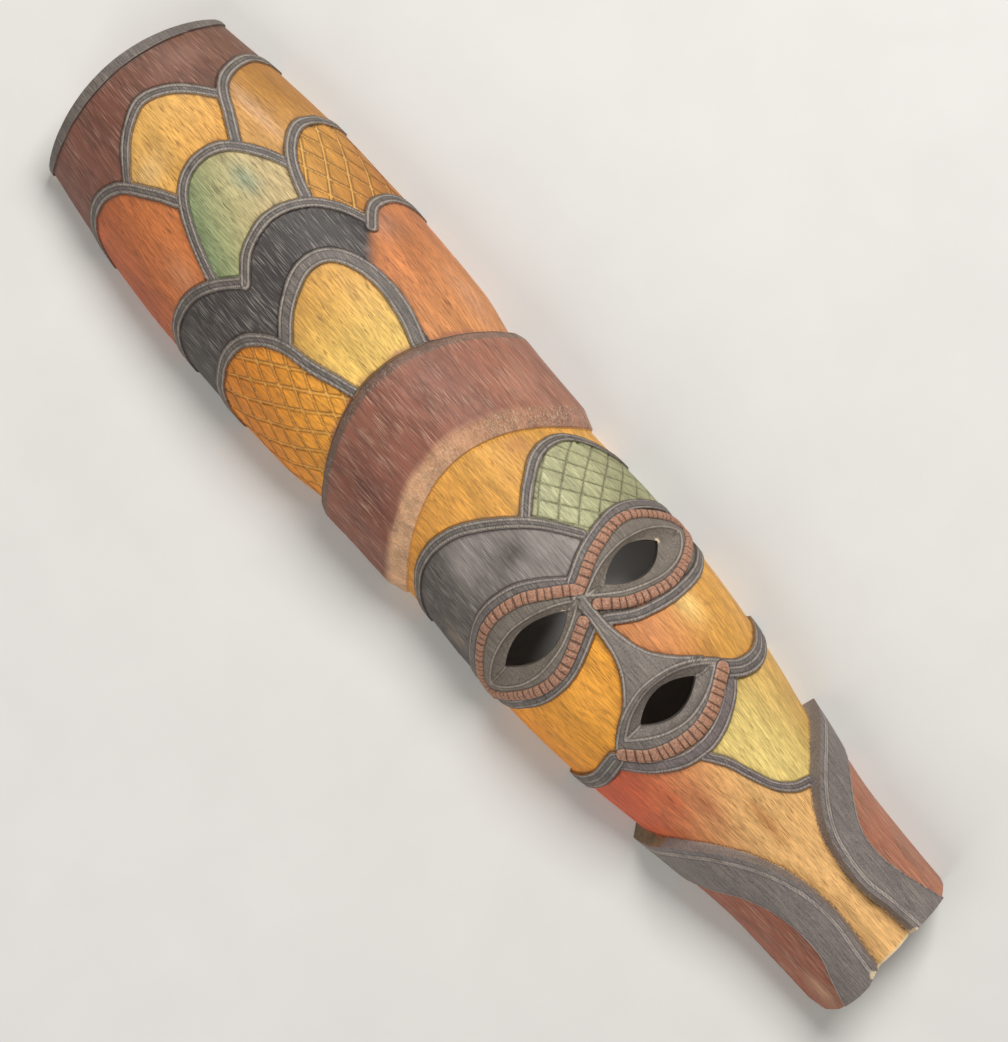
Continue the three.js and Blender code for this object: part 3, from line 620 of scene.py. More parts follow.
CHIN_LINE = [*CURL_LEFT[:3], *MOUTH["border"], *CURL_RIGHT[1:]]
CHIN_LINE_FROM_BAND = CHIN_LINE[4:]
CHIN_CORNER = [[1.3 * GIRTH, 0.15 * LENGTH]]
LEFT_UNDER, RIGHT_UNDER = EYES["left"]["under"], EYES["right"]["under"]
BLACK_TO_ORANGE = [[0.31, 0.735], *SCALES["low_right"]]
FIELD_LIST = [
    ("top_centre", below(SCALES["top_centre"], 0.8)),
    ("top_left", below(SCALES["top_left"], 0.7)),
    ("top_right", below(SCALES["top_right"], 0.7)),
    ("green", below(SCALES["green"], 0.7)),
    ("mid_right", below(SCALES["mid_right"], 0.65)),
    ("black", below(SCALES["black_left"], 0.65)),
    ("black", below(SCALES["black_centre"], 0.65)),
    ("low_right", below(BLACK_TO_ORANGE, 0.6)),
    ("wide", below(WIDE_SCALE, 0.6, left=-0.25)),
    ("low_left", below(SCALES["low_left"], 0.6)),
    ("band", stretch(BAND_BOTTOM, BAND_TOP)),
    ("band_edge", stretch(BAND_TOP - BAND_EDGE, BAND_TOP)),
    ("band_bevel", stretch(BAND_BOTTOM, BAND_BOTTOM + BAND_BEVEL)),
    ("forehead", stretch(0.34 * LENGTH, BAND_BOTTOM)),
    ("right_arch", below(FOREHEAD["right_arch"], 0.35)),
    ("left_arch", below(FOREHEAD["left_arch"], 0.35)),
    ("eyes", below([*EYES["left"]["brow"], *EYES["right"]["brow"]], 0.3)),
    ("cheek_left", below([*LEFT_UNDER, [0, 0.39]], 0.1, left=-1.2)),
    ("cheek_right", below([[0, 0.39], *RIGHT_UNDER], 0.1, right=1.2)),
    ("chin_left", below(CHIN_LINE, -0.2, left=-1.2, right=1.2)),
    ("chin_right", np.vstack([smooth_line(CHIN_LINE_FROM_BAND), CHIN_CORNER, smooth_line(CHIN_BAND)[::-1]])),
]
FIELD_NAMES = ["top", *dict.fromkeys(name for name, _ in FIELD_LIST)]
FIELD_LAYERS = {name: layer for layer, (name, _) in enumerate(FIELD_LIST)}
# The black field lies under two arches, in two layers, the one on the left first.
FIELD_LAYERS["black_centre"] = FIELD_LAYERS["black"]
FIELD_LAYERS["black_left"] = FIELD_LAYERS["black"] - 1


def find_fields(points):
    """For each point the number of its field, the layer it lies in and its depth inside the collar."""
    number, layer = np.zeros(len(points), int), np.full(len(points), -1)
    for k, (name, outline) in enumerate(FIELD_LIST):
        within = inside(points, outline)
        number[within] = FIELD_NAMES.index(name)
        layer[within] = k
    return {"number": number, "layer": layer, "collar": collar_edges(points)[0]}


# %% [markdown]
# ## A sheet with fine cells where it is carved
#
# A plain grid of 2.8 mm cells would be too coarse for a tooth, and a fine one would be wasted on the flat
# fields. So the grid is cut in two where a carved edge passes, and there cut in two again. The points
# nearest to an edge then slide onto it, which keeps the edge crisp.

# %% Cut the sheet where it is carved
CELL = 2.8 * MM
SNAP = 0.3 * MM
EXACT = 1e-6
INSIDE_TEETH = 0.35 * MM


def hole_on_sheet(shape, height):
    """Outline on the sheet of a hole that goes straight down through the bent wall."""
    flat = almond(shape)[:-1]
    target = bend(flat, np.zeros(len(flat)))[:, :2]
    place = flat.copy()
    for _ in range(12):
        here = bend(place, np.full(len(place), height))[:, :2]
        turn = np.cos(place[:, 0] / GIRTH * np.pi / 2)
        place += (target - here) * np.column_stack([1 / np.maximum(turn, 0.3), np.ones(len(place))])
    return np.vstack([place, place[:1]])


front_holes = [hole_on_sheet(socket["hole"], SOCKET_FLOOR) for socket in sockets]
back_holes = [hole_on_sheet(socket["hole"], -WALL) for socket in sockets]


def length_and_direction(step):
    """Length of each step and the direction in which it goes."""
    away = np.linalg.norm(step, axis=1)
    return away, step / np.maximum(away, 1e-9)[:, None]


def to_edges(points):
    """Step from each point to the nearest carved edge, and its length."""
    fields = find_fields(points)
    best = np.full(len(points), FAR)
    steps = np.zeros((len(points), 2))

    def offer(distance, step):
        closer = distance < best
        best[closer] = distance[closer]
        steps[closer] = step[closer]

    for part in parts:
        depth, _, step = depth_inside(part, points, fields)
        away, unit = length_and_direction(step)
        for inset in (0, *LINES[part["kind"]]):
            if part["half"] is None:
                shift = np.where(depth > 0, away - inset, away + inset)
            else:
                shift = away - (part["half"] - inset)
            offer(np.where(away > 0, np.abs(shift), FAR), unit * shift[:, None])
        if part["kind"] == "teeth":
            offer(np.where((away > 0) & (depth > 0), INSIDE_TEETH, FAR), np.zeros_like(step))
    for outline in (*front_holes, *(almond(socket["rim"]) for socket in sockets)):
        distance, _, _, step = measure(points, outline)
        offer(distance, step)
    inner_depth, _, run = collar_edges(points)
    for inner, outer in COLLAR.values():
        distance, _, _, step = measure(points, smooth_line(outer))
        offer(distance, step)
        distance, _, _, step = measure(points, smooth_line(inner))
        away, unit = length_and_direction(step)
        signed = np.where(inner_depth > 0, away, -away)
        for target in (-collar_foot(run), 0, *(line * MM for line in COLLAR_LINES)):
            shift = (signed - target) * np.sign(signed)
            offer(np.where(away > 0, np.abs(shift), FAR), unit * shift[:, None])
    levels = (BAND_BOTTOM, BAND_BOTTOM + BAND_BEVEL, BAND_TOP, BAND_TOP - BAND_EDGE)
    for shift in (*(level - points[:, 1] for level in levels), -top_rim(points)):
        offer(np.abs(shift), np.column_stack([np.zeros(len(points)), shift]))
    for distance, direction in hatch_families(points, fields):
        offer(np.abs(distance), -distance[:, None] * direction)
    return best, steps


def places_of(mesh):
    """Places of the points of a flat sheet."""
    return np.array([vert.co[:2] for vert in mesh.verts])


def cut_near(mesh, reach, closeness):
    """Cuts each face in four where its middle lies within reach of a carved edge."""
    middles = np.array([face.calc_center_median()[:2] for face in mesh.faces])
    chosen = closeness(middles) < reach
    edges = {edge for face, take in zip(mesh.faces[:], chosen) if take for edge in face.edges}
    bmesh.ops.subdivide_edges(mesh, edges=list(edges), cuts=1, use_grid_fill=True, use_single_edge=True)
    many = [face for face in mesh.faces if len(face.verts) > 4]
    bmesh.ops.triangulate(mesh, faces=many)


def sheet_grid(columns, rows):
    """A flat grid as large as the sheet."""
    mesh = bmesh.new()
    bmesh.ops.create_grid(mesh, x_segments=columns, y_segments=rows, size=1)
    bmesh.ops.translate(mesh, verts=mesh.verts, vec=(0, 1, 0))
    bmesh.ops.scale(mesh, verts=mesh.verts, vec=(GIRTH, LENGTH / 2, 1))
    return mesh


front = sheet_grid(round(2 * GIRTH / CELL), round(LENGTH / CELL))
for reach in (0.85 * CELL, 0.42 * CELL):
    cut_near(front, reach, lambda middles: to_edges(middles)[0])
    print("cells on the sheet:", len(front.faces))


def collar_wall(points):
    """Distance to the steep inner wall of the collar, which needs the finest cells."""
    inner_depth, _, run = collar_edges(points)
    half = collar_foot(run) / 2
    return np.abs(inner_depth + half) - half


cut_near(front, 0.12 * CELL, collar_wall)
print("with the wall of the collar:", len(front.faces))

# %% [markdown]
# The bottom edge of the real mask isn't square: it is worn round at both corners and a little longer on the
# left. The lowest rows of the sheet are stretched to that edge before anything is carved.

# %% Fit the lowest rows, slide points onto edges and open the holes
END_ROWS = 0.08 * LENGTH


def bottom_level(across):
    """Level at which the sawn bottom edge cuts the sheet."""
    flat = np.column_stack([across, np.zeros(len(across))])
    x = bend(flat, np.full(len(flat), COLLAR_SIDE_RISE))[:, 0]
    return (0.5 + np.interp(x / (WIDTH / 2), BOTTOM_EDGE[:, 0], BOTTOM_EDGE[:, 1])) * LENGTH


places = places_of(front)
places[:, 1] += bottom_level(places[:, 0]) * np.clip(1 - places[:, 1] / END_ROWS, 0, 1)
rim_point = (np.abs(places[:, 0]) > GIRTH - EXACT) | (places[:, 1] > LENGTH - EXACT)
rim_point |= np.array([vert.co.y < EXACT for vert in front.verts])
distance, steps = to_edges(places)
slide = (distance < SNAP) & ~rim_point
places[slide] += steps[slide]
for vert, place in zip(front.verts, places):
    vert.co = (*place, 0)
print("points slid onto an edge:", int(slide.sum()), "of", len(places))


def open_holes(mesh, outlines):
    """Takes out the faces inside each outline and brings the points of the new edge onto it."""
    for outline in outlines:
        middles = np.array([face.calc_center_median()[:2] for face in mesh.faces])
        within = inside(middles, outline[:-1])
        gone = [face for face, take in zip(mesh.faces[:], within) if take]
        around = {edge for face in gone for edge in face.edges}
        bmesh.ops.delete(mesh, geom=gone, context="FACES")
        edge_points = {vert for edge in around if edge.is_valid and edge.is_boundary for vert in edge.verts}
        edge_points = list(edge_points)
        _, _, _, step = measure(np.array([vert.co[:2] for vert in edge_points]), outline, reach=20 * MM)
        for vert, (dx, dy) in zip(edge_points, step):
            vert.co.x += dx
            vert.co.y += dy
        print("opened a hole with", len(edge_points), "points round it")


open_holes(front, front_holes)

# %% [markdown]
# ## Bend the sheet and build the back
#
# The sheet is bent with its height, and the flat place of every point is kept in an attribute: the stains
# are laid out on it later. The hollow at the back is a second, plainer sheet at the thickness of the wall,
# gouged in long strokes. Both ends stay solid wood.

# %% Bend the front
GOUGE = 0.13 * MM
WAVES = 0.1 * MM
UNSTEADY_HAND = 0.3 * MM


def unsteady(places):
    """Places moved a little, so that no carved line is as even as a drawn one."""
    free = slope(GIRTH - np.abs(places[:, 0]), 0, 8 * MM) * slope(LENGTH - places[:, 1], 0, 8 * MM)
    free *= slope(places[:, 1], 12 * MM, 20 * MM) * UNSTEADY_HAND
    drift = np.column_stack([wander(places, 13 * MM, 1), wander(places, 13 * MM, 2)])
    return places + drift * free[:, None]


def keep_places(mesh, places, heights):
    """Keeps the flat place of every point in an attribute."""
    layer = mesh.verts.layers.float_vector.new("sheet")
    for vert, spot, height in zip(mesh.verts, places, heights):
        vert[layer] = (spot[0], spot[1], height)
    return layer


def place_points(mesh, bent, flat):
    """Moves every point to its place in space, and those of both long edges down to the rim."""
    for vert, place, (across, _) in zip(mesh.verts, bent, flat):
        vert.co = place
        if abs(across) > GIRTH - EXACT:
            vert.co.z = 0


places = places_of(front)
heights = relief(places, find_fields(places))
heights += GOUGE * wander(places * (1, 0.25), 4 * MM, 3) + WAVES * wander(places, 12 * MM, 4)
layer = keep_places(front, places, heights)
place_points(front, bend(unsteady(places), heights), places)
print("relief from", round(heights.min() / MM, 2), "to", round(heights.max() / MM, 2), "mm")


# %% Close the two ends of a sheet down to the rim
def close_end(mesh, chosen):
    """Draws a row of edges straight down to the plane that the rim lies on."""
    edges = [edge for edge in mesh.edges if edge.is_boundary and all(chosen(vert) for vert in edge.verts)]
    drawn = bmesh.ops.extrude_edge_only(mesh, edges=edges)["geom"]
    for vert in (item for item in drawn if isinstance(item, bmesh.types.BMVert)):
        vert.co.z = 0
    return [item for item in drawn if isinstance(item, bmesh.types.BMFace)]


front.verts.ensure_lookup_table()
top_row = {vert for vert in front.verts if vert[layer].y > LENGTH - EXACT}
edge_points = [vert for vert in front.verts if vert.is_boundary]
cut_levels = bottom_level(np.array([vert[layer].x for vert in edge_points]))
bottom_row = {vert for vert, cut in zip(edge_points, cut_levels) if abs(vert[layer].y - cut) < 10 * EXACT}
for row in (top_row, bottom_row):
    for face in close_end(front, lambda vert, row=row: vert in row):
        face.material_index = 1
print("end rows:", len(top_row), len(bottom_row))

# %% Gouge the hollow
HOLLOW_COLUMNS, HOLLOW_ROWS = 44, 130
STROKE_DEPTH = 0.35 * MM


def from_back_holes(points):
    """Distance to the edge of the nearest of the three holes in the back."""
    return np.min([measure(points, line)[0] for line in back_holes], axis=0)


hollow = sheet_grid(HOLLOW_COLUMNS, HOLLOW_ROWS)
cut_near(hollow, 3 * MM, from_back_holes)
open_holes(hollow, back_holes)
places = places_of(hollow)
first_row, last_row = places[:, 1] < EXACT, places[:, 1] > LENGTH - EXACT
inner_low = -LENGTH / 2 + END_WALL + MIDDLE_SHIFT
inner_high = LENGTH / 2 - END_WALL - SECTIONS[-1, 3] * LENGTH + MIDDLE_SHIFT
top_level = LENGTH - END_WALL - SECTIONS[-1, 3] * LENGTH * np.cos(places[:, 0] / GIRTH * np.pi / 2) ** 2
places[:, 1] += END_WALL * np.clip(1 - places[:, 1] / END_ROWS, 0, 1)
places[:, 1] += (top_level - LENGTH) * np.clip(1 - (LENGTH - places[:, 1]) / END_ROWS, 0, 1)
strokes = STROKE_DEPTH * wander(places * (1, 0.3), 7 * MM, 5) * slope(GIRTH - np.abs(places[:, 0]), 0, 5 * MM)
depth = -WALL + strokes * slope(from_back_holes(places), 0.1 * MM, 3 * MM)
keep_places(hollow, places, depth)
bent = bend(places, depth)
bent[first_row, 1] = inner_low
bent[last_row, 1] = inner_high
place_points(hollow, bent, places)
for y in (inner_low, inner_high):
    close_end(hollow, lambda vert, y=y: abs(vert.co.y - y) < EXACT / 10)
for face in hollow.faces:
    face.material_index = 1
print("hollow from", round(inner_low / MM, 1), "to", round(inner_high / MM, 1), "mm")

# %% [markdown]
# ## One closed piece of wood
#
# Front and hollow are joined, the flat rim that the mask lies on is filled between them, and a bridge of
# faces closes each eye and the mouth through the thickness of the wall.

# %% Join, fill the rim and bridge the holes
wood = bmesh.new()
for mesh in (front, hollow):
    block = bpy.data.meshes.new("half")
    mesh.to_mesh(block)
    wood.from_mesh(block)
    bpy.data.meshes.remove(block)
    mesh.free()
bmesh.ops.remove_doubles(wood, verts=wood.verts, dist=0.02 * MM)
rim_edges = [edge for edge in wood.edges if edge.is_boundary and all(abs(v.co.z) < EXACT for v in edge.verts)]
filled = bmesh.ops.triangle_fill(wood, edges=rim_edges, use_beauty=True, normal=(0, 0, -1))["geom"]
for item in filled:
    if isinstance(item, bmesh.types.BMFace):
        item.material_index = 1
for socket in sockets:
    outline = almond(socket["hole"])
    outline = bend(outline, np.zeros(len(outline)))[:, :2]
    low, high = outline.min(axis=0) - 3 * MM, outline.max(axis=0) + 3 * MM
    wall_edges = [edge for edge in wood.edges if edge.is_boundary
                  and all(low[0] < v.co.x < high[0] and low[1] < v.co.y < high[1] for v in edge.verts)]
    bmesh.ops.bridge_loops(wood, edges=wall_edges)
bmesh.ops.recalc_face_normals(wood, faces=wood.faces)

# The edges drawn down to the rim come out in any order, so the faces are sorted to be the same each run.
for rank, face in enumerate(sorted(wood.faces, key=lambda face: tuple(face.calc_center_median()))):
    face.index = rank
wood.faces.sort()
open_edges = sum(not edge.is_manifold for edge in wood.edges)
triangles = sum(len(face.verts) - 2 for face in wood.faces)
print("one piece with", triangles, "triangles and", open_edges, "open edges")

SHARP = math.radians(38)
for edge in wood.edges:
    edge.smooth = edge.calc_face_angle(0) < SHARP
for face in wood.faces:
    face.smooth = True
carving = bpy.data.meshes.new("mask_carving")
wood.to_mesh(carving)
wood.free()
piece = bpy.data.objects.new("mask_carving", carving)
bpy.context.scene.collection.objects.link(piece)

# %% [markdown]
# ## Where each stain goes
#
# The stains are laid out on the sheet, so every point of the piece gets the colour of its field, the colour
# of the grain that shows through it, and how far it lies inside the nearest border and the nearest row of
# teeth. The material turns those distances into crisp lines. Most fields run from one shade into another.

# %% Colours of the stains
def stain(text):
    """A colour written as six hexadecimal digits, in the linear values that shaders use."""
    values = np.array([int(text[k:k + 2], 16) for k in (0, 2, 4)]) / 255
    return np.where(values < 0.04045, values / 12.92, ((values + 0.055) / 1.055) ** 2.4)


# name: first shade, last shade, the places [share, level] between which it changes, the grain in it and
# how much of that grain is long scratches instead of short pores
STAINS = {
    "top": ("7A4A3C", "6E4632", (-0.8, 0.96), (0.8, 0.96), "B48A74", 1),
    "top_centre": ("DAA656", "D69A44", (0, 0.945), (0.25, 0.88), "6A4016", 0),
    "top_left": ("C06236", "CC783E", (-1.0, 0.86), (-0.3, 0.82), "6E2C12", 0),
    "top_right": ("CE9850", "AE7630", (0.35, 0.88), (0.75, 0.93), "7E4A1C", 0),
    "green": ("7E9064", "CEB47E", (-0.25, 0.86), (0.25, 0.83), "4A4A2C", 0),
    "mid_right": ("CC9240", "B46E22", (0.4, 0.85), (0.8, 0.78), "84521A", 0),
    "black": ("423B37", "3A3431", (-0.8, 0.8), (0.4, 0.76), "A49A90", 1),
    "low_right": ("C67A44", "CE8A52", (0.6, 0.76), (0.8, 0.67), "703818", 0),
    "wide": ("D8A048", "E6BC60", (0, 0.75), (0, 0.67), "6E4618", 0),
    "low_left": ("E28616", "F4A62C", (-0.7, 0.76), (-0.2, 0.66), "7E4A10", 0),
    "band": ("844C38", "96604A", (-0.6, 0.6), (0.8, 0.6), "C49A80", 1),
    "band_edge": ("6A4E40", "80604E", (-0.6, 0.6), (0.8, 0.6), "A89080", 1),
    "band_bevel": ("DCA87C", "A0705A", (-0.6, 0.56), (0.8, 0.56), "E0C4A4", 1),
    "forehead": ("DE9838", "DCA046", (-0.5, 0.53), (0.2, 0.55), "7E4E18", 0),
    "right_arch": ("B8B68A", "96946C", (0.3, 0.52), (0.9, 0.48), "5E6040", 0),
    "left_arch": ("463F3A", "8A817A", (-0.8, 0.5), (0.1, 0.46), "AEA499", 1),
    "eyes": ("72675B", "70665C", (-0.5, 0.4), (0.5, 0.4), "988C7C", 1),
    "cheek_left": ("F0940E", "EEA230", (-1.0, 0.33), (-0.3, 0.33), "7C460C", 0),
    "cheek_right": ("D2884E", "DCA046", (0.15, 0.35), (0.6, 0.32), "8A5420", 0),
    "chin_left": ("D65E36", "EAB672", (-0.6, 0.26), (0.02, 0.17), "74401A", 0),
    "chin_right": ("E6CA7A", "D6A654", (0.25, 0.2), (0.85, 0.24), "846A2C", 0),
    "collar": ("96543C", "A8684C", (-0.8, 0.1), (0.8, 0.1), "D0A488", 1),
    "collar_tip": ("766448", "62543E", (-0.9, 0.2), (-0.5, 0.17), "9C8A64", 1),
}
# kind of part: its dark stain
TRIMS = {
    "border": "665D56", "chin": "6E6260", "brow": "665D58", "plate": "72675B",
    "nose": "7A7068", "lip": "746A62", "curl": "665E5A", "ridge": "766C67",
}
# Soft spots where the hand laid the stain on thicker or thinner, and on the right cheek one pale spot that is
# a
# painted highlight on its swelling: share, level, reach across and along in mm, and the colour in the middle
# of the spot
SPOTS = [
    (0.13, 0.85, 4, 8, "8A9C80"), (0.42, 0.9, 3.5, 18, "DCAE84"), (0.62, 0.92, 6, 12, "A07028"),
    (-0.42, 0.836, 6, 10, "CC865A"), (-0.75, 0.87, 6, 16, "A4502C"), (0.52, 0.77, 9, 8, "B07C60"),
    (0.7, 0.69, 7, 14, "D0946A"), (0.43, 0.345, 6, 11, "F0CC7C"), (0.22, 0.365, 4, 9, "CC7E50"),
    (-0.25, 0.205, 5, 13, "A05A36"), (-0.03, 0.16, 3.5, 13, "B87840"), (-0.4, 0.225, 5, 9, "C85E34"),
    (-0.3, 0.5, 9, 8, "9A9088"), (-0.75, 0.475, 6, 9, "7C6C5C"), (-0.1, 0.47, 7, 5, "342E2C"),
    (-0.45, 0.61, 12, 9, "703A2A"), (0.1, 0.62, 14, 9, "8E5A48"), (0.55, 0.6, 10, 12, "A8745E"),
    (-0.2, 0.91, 9, 6, "E2B878"), (0.3, 0.545, 6, 5, "BC8048"), (0.35, 0.975, 14, 5, "8A6250"),
    (-0.62, 0.015, 6, 9, "CE9C78"), (0.75, 0.06, 5, 16, "BC8468"), (-0.7, 0.1, 5, 12, "80442F"),
]
# Small places where the stain has come off, as [share, level, size in mm]
CHIPS = [(-1, 0.996, 3.4), (-0.1, 0.404, 1.7), (0.6, 0.403, 1.8), (-0.17, 0.002, 3), (0.25, 0.006, 2.4)]


def shade(name, points):
    """Colour of one stain at every point."""
    first, last, start, end, _, _ = STAINS[name]
    start, end = np.array(start) * SHEET, np.array(end) * SHEET
    t = np.clip((points - start) @ (end - start) / ((end - start) ** 2).sum(), 0, 1)
    t = (t * t * (3 - 2 * t))[:, None]
    return stain(first) * (1 - t) + stain(last) * t


# %% Give every point its stains
points = np.empty(len(carving.vertices) * 3, np.float32)
carving.attributes["sheet"].data.foreach_get("vector", points)
places = points.reshape(-1, 3)[:, :2].astype(float)
fields = find_fields(places)
inner_depth, outer_depth, collar_run = collar_edges(places)
on_collar = inner_depth > -0.5 * MM
on_tip = (inner_depth > -collar_foot(collar_run)) & (inner_depth < 0) & (collar_run < 0.9 * SLOPED_TIP)
field_colour, grain_colour = np.zeros((len(places), 3)), np.zeros((len(places), 3))
scratched = np.zeros(len(places))
BLEND_HALF = 2 * MM
BLEND_POINTS = 12
SPOT_STRENGTH = 0.8


def colour_field(here, name):
    """Lays one stain on the chosen points."""
    *_, grain, scratches = STAINS[name]
    field_colour[here] = shade(name, places[here])
    grain_colour[here] = stain(grain)
    scratched[here] = scratches


def blend_fields(here, first, last, share):
    """Lets one stain run into another on the chosen points."""
    field_colour[here] = shade(first, places[here]) * (1 - share) + shade(last, places[here]) * share


for number, name in enumerate(FIELD_NAMES):
    colour_field(fields["number"] == number, name)
colour_field(on_collar, "collar")
colour_field(on_tip, "collar_tip")

# The black scale runs into the orange one beside it without a border between them.
blend_line = smooth_line(BLACK_TO_ORANGE)[:BLEND_POINTS]
distance, side, _, _ = measure(places, blend_line)
two_layers = [FIELD_LAYERS["black_centre"], FIELD_LAYERS["low_right"]]
near = (distance < BLEND_HALF) & np.isin(fields["layer"], two_layers)
share = 0.5 - 0.5 * (side * distance / BLEND_HALF)[near, None]
blend_fields(near, "black", "low_right", share)

# The pale bevel of the band fades into the red brown above it.
near = np.isin(fields["number"], [FIELD_NAMES.index(name) for name in ("band", "band_bevel")])
fade_end = BAND_BOTTOM + BAND_BEVEL + 1.5 * MM * wander(places[near], 14 * MM, 6)
share = slope(places[near, 1], fade_end + BLEND_HALF, fade_end - BLEND_HALF)[:, None]
blend_fields(near, "band", "band_bevel", share)

spot_fields = find_fields(np.array([spot[:2] for spot in SPOTS]) * SHEET)
spot_on_collar = spot_fields["collar"] > 0
for (x, y, wide, tall, colour), number, raised in zip(SPOTS, spot_fields["number"], spot_on_collar):
    away = (places - np.array((x, y)) * SHEET) / (wide * MM, tall * MM)
    same_field = on_collar if raised else (fields["number"] == number) & ~on_collar
    share = SPOT_STRENGTH * np.exp(-(away**2).sum(axis=1)) * same_field
    field_colour = field_colour * (1 - share[:, None]) + stain(colour) * share[:, None]

# %% Find the trims, the engraved lines and the teeth
wall = np.where(collar_run < 0.9 * SLOPED_TIP, 0, collar_foot(collar_run))
ridge = np.minimum(inner_depth + wall, -outer_depth)
border_depth = top_rim(places)
trim_colour = np.tile(stain(TRIMS["border"]), (len(places), 1))
line_distance = np.abs(top_rim(places) + 1.6 * MM)
tooth_depth, tooth_run = np.full(len(places), -FAR), np.zeros(len(places))
for part in parts:
    depth, run, _ = depth_inside(part, places, fields)
    if part["kind"] == "teeth":
        better = depth > tooth_depth
        tooth_depth[better] = depth[better]
        tooth_run[better] = tooth_place(part, run)[better]
        continue
    here = depth > -0.3 * MM
    trim_colour[here] = stain(TRIMS[part["kind"]])
    line_distance[here] = engraved(part, depth)[here]
    border_depth = np.maximum(border_depth, depth)
# Depth past the foot of the borders, the band's upper edge and the collar's inner wall, where the shader lays
# a dark line: painted shade in the crease, with some dark stain run into it.
seam_depth = np.maximum(border_depth, -np.abs(places[:, 1] - BAND_TOP))
outside = inner_depth + collar_foot(collar_run)
seam_depth = np.maximum(seam_depth, np.where(outside < 0, outside, -FAR))
border_depth = np.maximum(border_depth, ridge)
on_ridge = ridge > -0.4 * MM
trim_colour[on_ridge] = stain(TRIMS["ridge"])
ridge_lines = [np.abs(inner_depth - inset * MM) for inset in COLLAR_LINES] + [np.abs(outer_depth + 0.9 * MM)]
line_distance[on_ridge] = np.min(ridge_lines, axis=0)[on_ridge]
for socket in sockets:
    rim, hole = almond(socket["rim"]), socket["hole"]
    creases = [np.array([socket["rim"][k], hole[k]]) * SHEET for k in (0, 1)]
    for line in (rim, *creases):
        line_distance = np.minimum(line_distance, measure(places, line)[0])
hatch_distance = np.min([np.abs(distance) for distance, _ in hatch_families(places, fields)], axis=0)
bare = np.full(len(places), -FAR)
for x, y, size in CHIPS:
    away = np.linalg.norm(places - np.array((x, y)) * SHEET, axis=1)
    bare = np.maximum(bare, size * MM - away)
above_end = places[:, 1] - bottom_level(places[:, 0])
bare = np.maximum(bare, np.where(inner_depth < 0, 1.3 * MM - above_end, -FAR))


def keep(name, values):
    """Stores numbers or colours on the points of the piece."""
    if values.ndim == 2:
        attribute = carving.attributes.new(name, "FLOAT_COLOR", "POINT")
        rgba = np.column_stack([values, np.ones(len(values))]).astype(np.float32)
        attribute.data.foreach_set("color", rgba.ravel())
    else:
        attribute = carving.attributes.new(name, "FLOAT", "POINT")
        attribute.data.foreach_set("value", values.astype(np.float32))


keep("field", field_colour)
keep("grain", grain_colour)
keep("trim", trim_colour)
keep("scratched", scratched)
keep("tooth_run", tooth_run)
# The orange hatched fields get a painted highlight down the middle of each groove, with painted shade beside
# it.
orange_hatches = [FIELD_NAMES.index(name) for name in ("mid_right", "low_left")]
keep("highlit_grooves", np.isin(fields["number"], orange_hatches) * 1.0)
distances = {
    "border": border_depth, "seam": seam_depth, "engraved": line_distance, "tooth": tooth_depth,
    "hatch": hatch_distance, "bare": bare, "above_band": places[:, 1] - BAND_TOP,
}
for name, values in distances.items():
    keep(name + "_mm", np.clip(values / MM, -9, 12))
print("stained points:", len(places))

# %% [markdown]
# ## Shader sums
#
# A node tree is easier to read as a sum. The small class below wraps an output socket, so that adding or
# multiplying two of them adds the Math node, and one method makes every other node.

# %% A workbench for shaders
class Wire:
    """An output of a node that can be used in sums."""

    def __init__(self, bench, socket):
        self.bench = bench
        self.socket = socket

    def math(self, operation, *values, clamp=False):
        return self.bench.node("Math", {"operation": operation, "use_clamp": clamp}, dict(enumerate(values)))

    def __add__(self, other):
        return self.math("ADD", self, other)

    def __sub__(self, other):
        return self.math("SUBTRACT", self, other)

    def __mul__(self, other):
        return self.math("MULTIPLY", self, other)

    def __truediv__(self, other):
        return self.math("DIVIDE", self, other)

    def __rsub__(self, other):
        return self.math("SUBTRACT", other, self)

    def __rtruediv__(self, other):
        return self.math("DIVIDE", other, self)

    __radd__ = __add__
    __rmul__ = __mul__

    def rise(self, start, end):
        """0 before start, 1 after end, smooth between them."""
        settings = {"interpolation_type": "SMOOTHSTEP"}
        return self.bench.node("MapRange", settings, {"Value": self, "From Min": start, "From Max": end})

    def line(self, centre, half):
        """1 on a value, fading to 0 at half a width from it."""
        away = self - centre
        return self.math("SUBTRACT", 1, away.math("ABSOLUTE", away) / half, clamp=True)


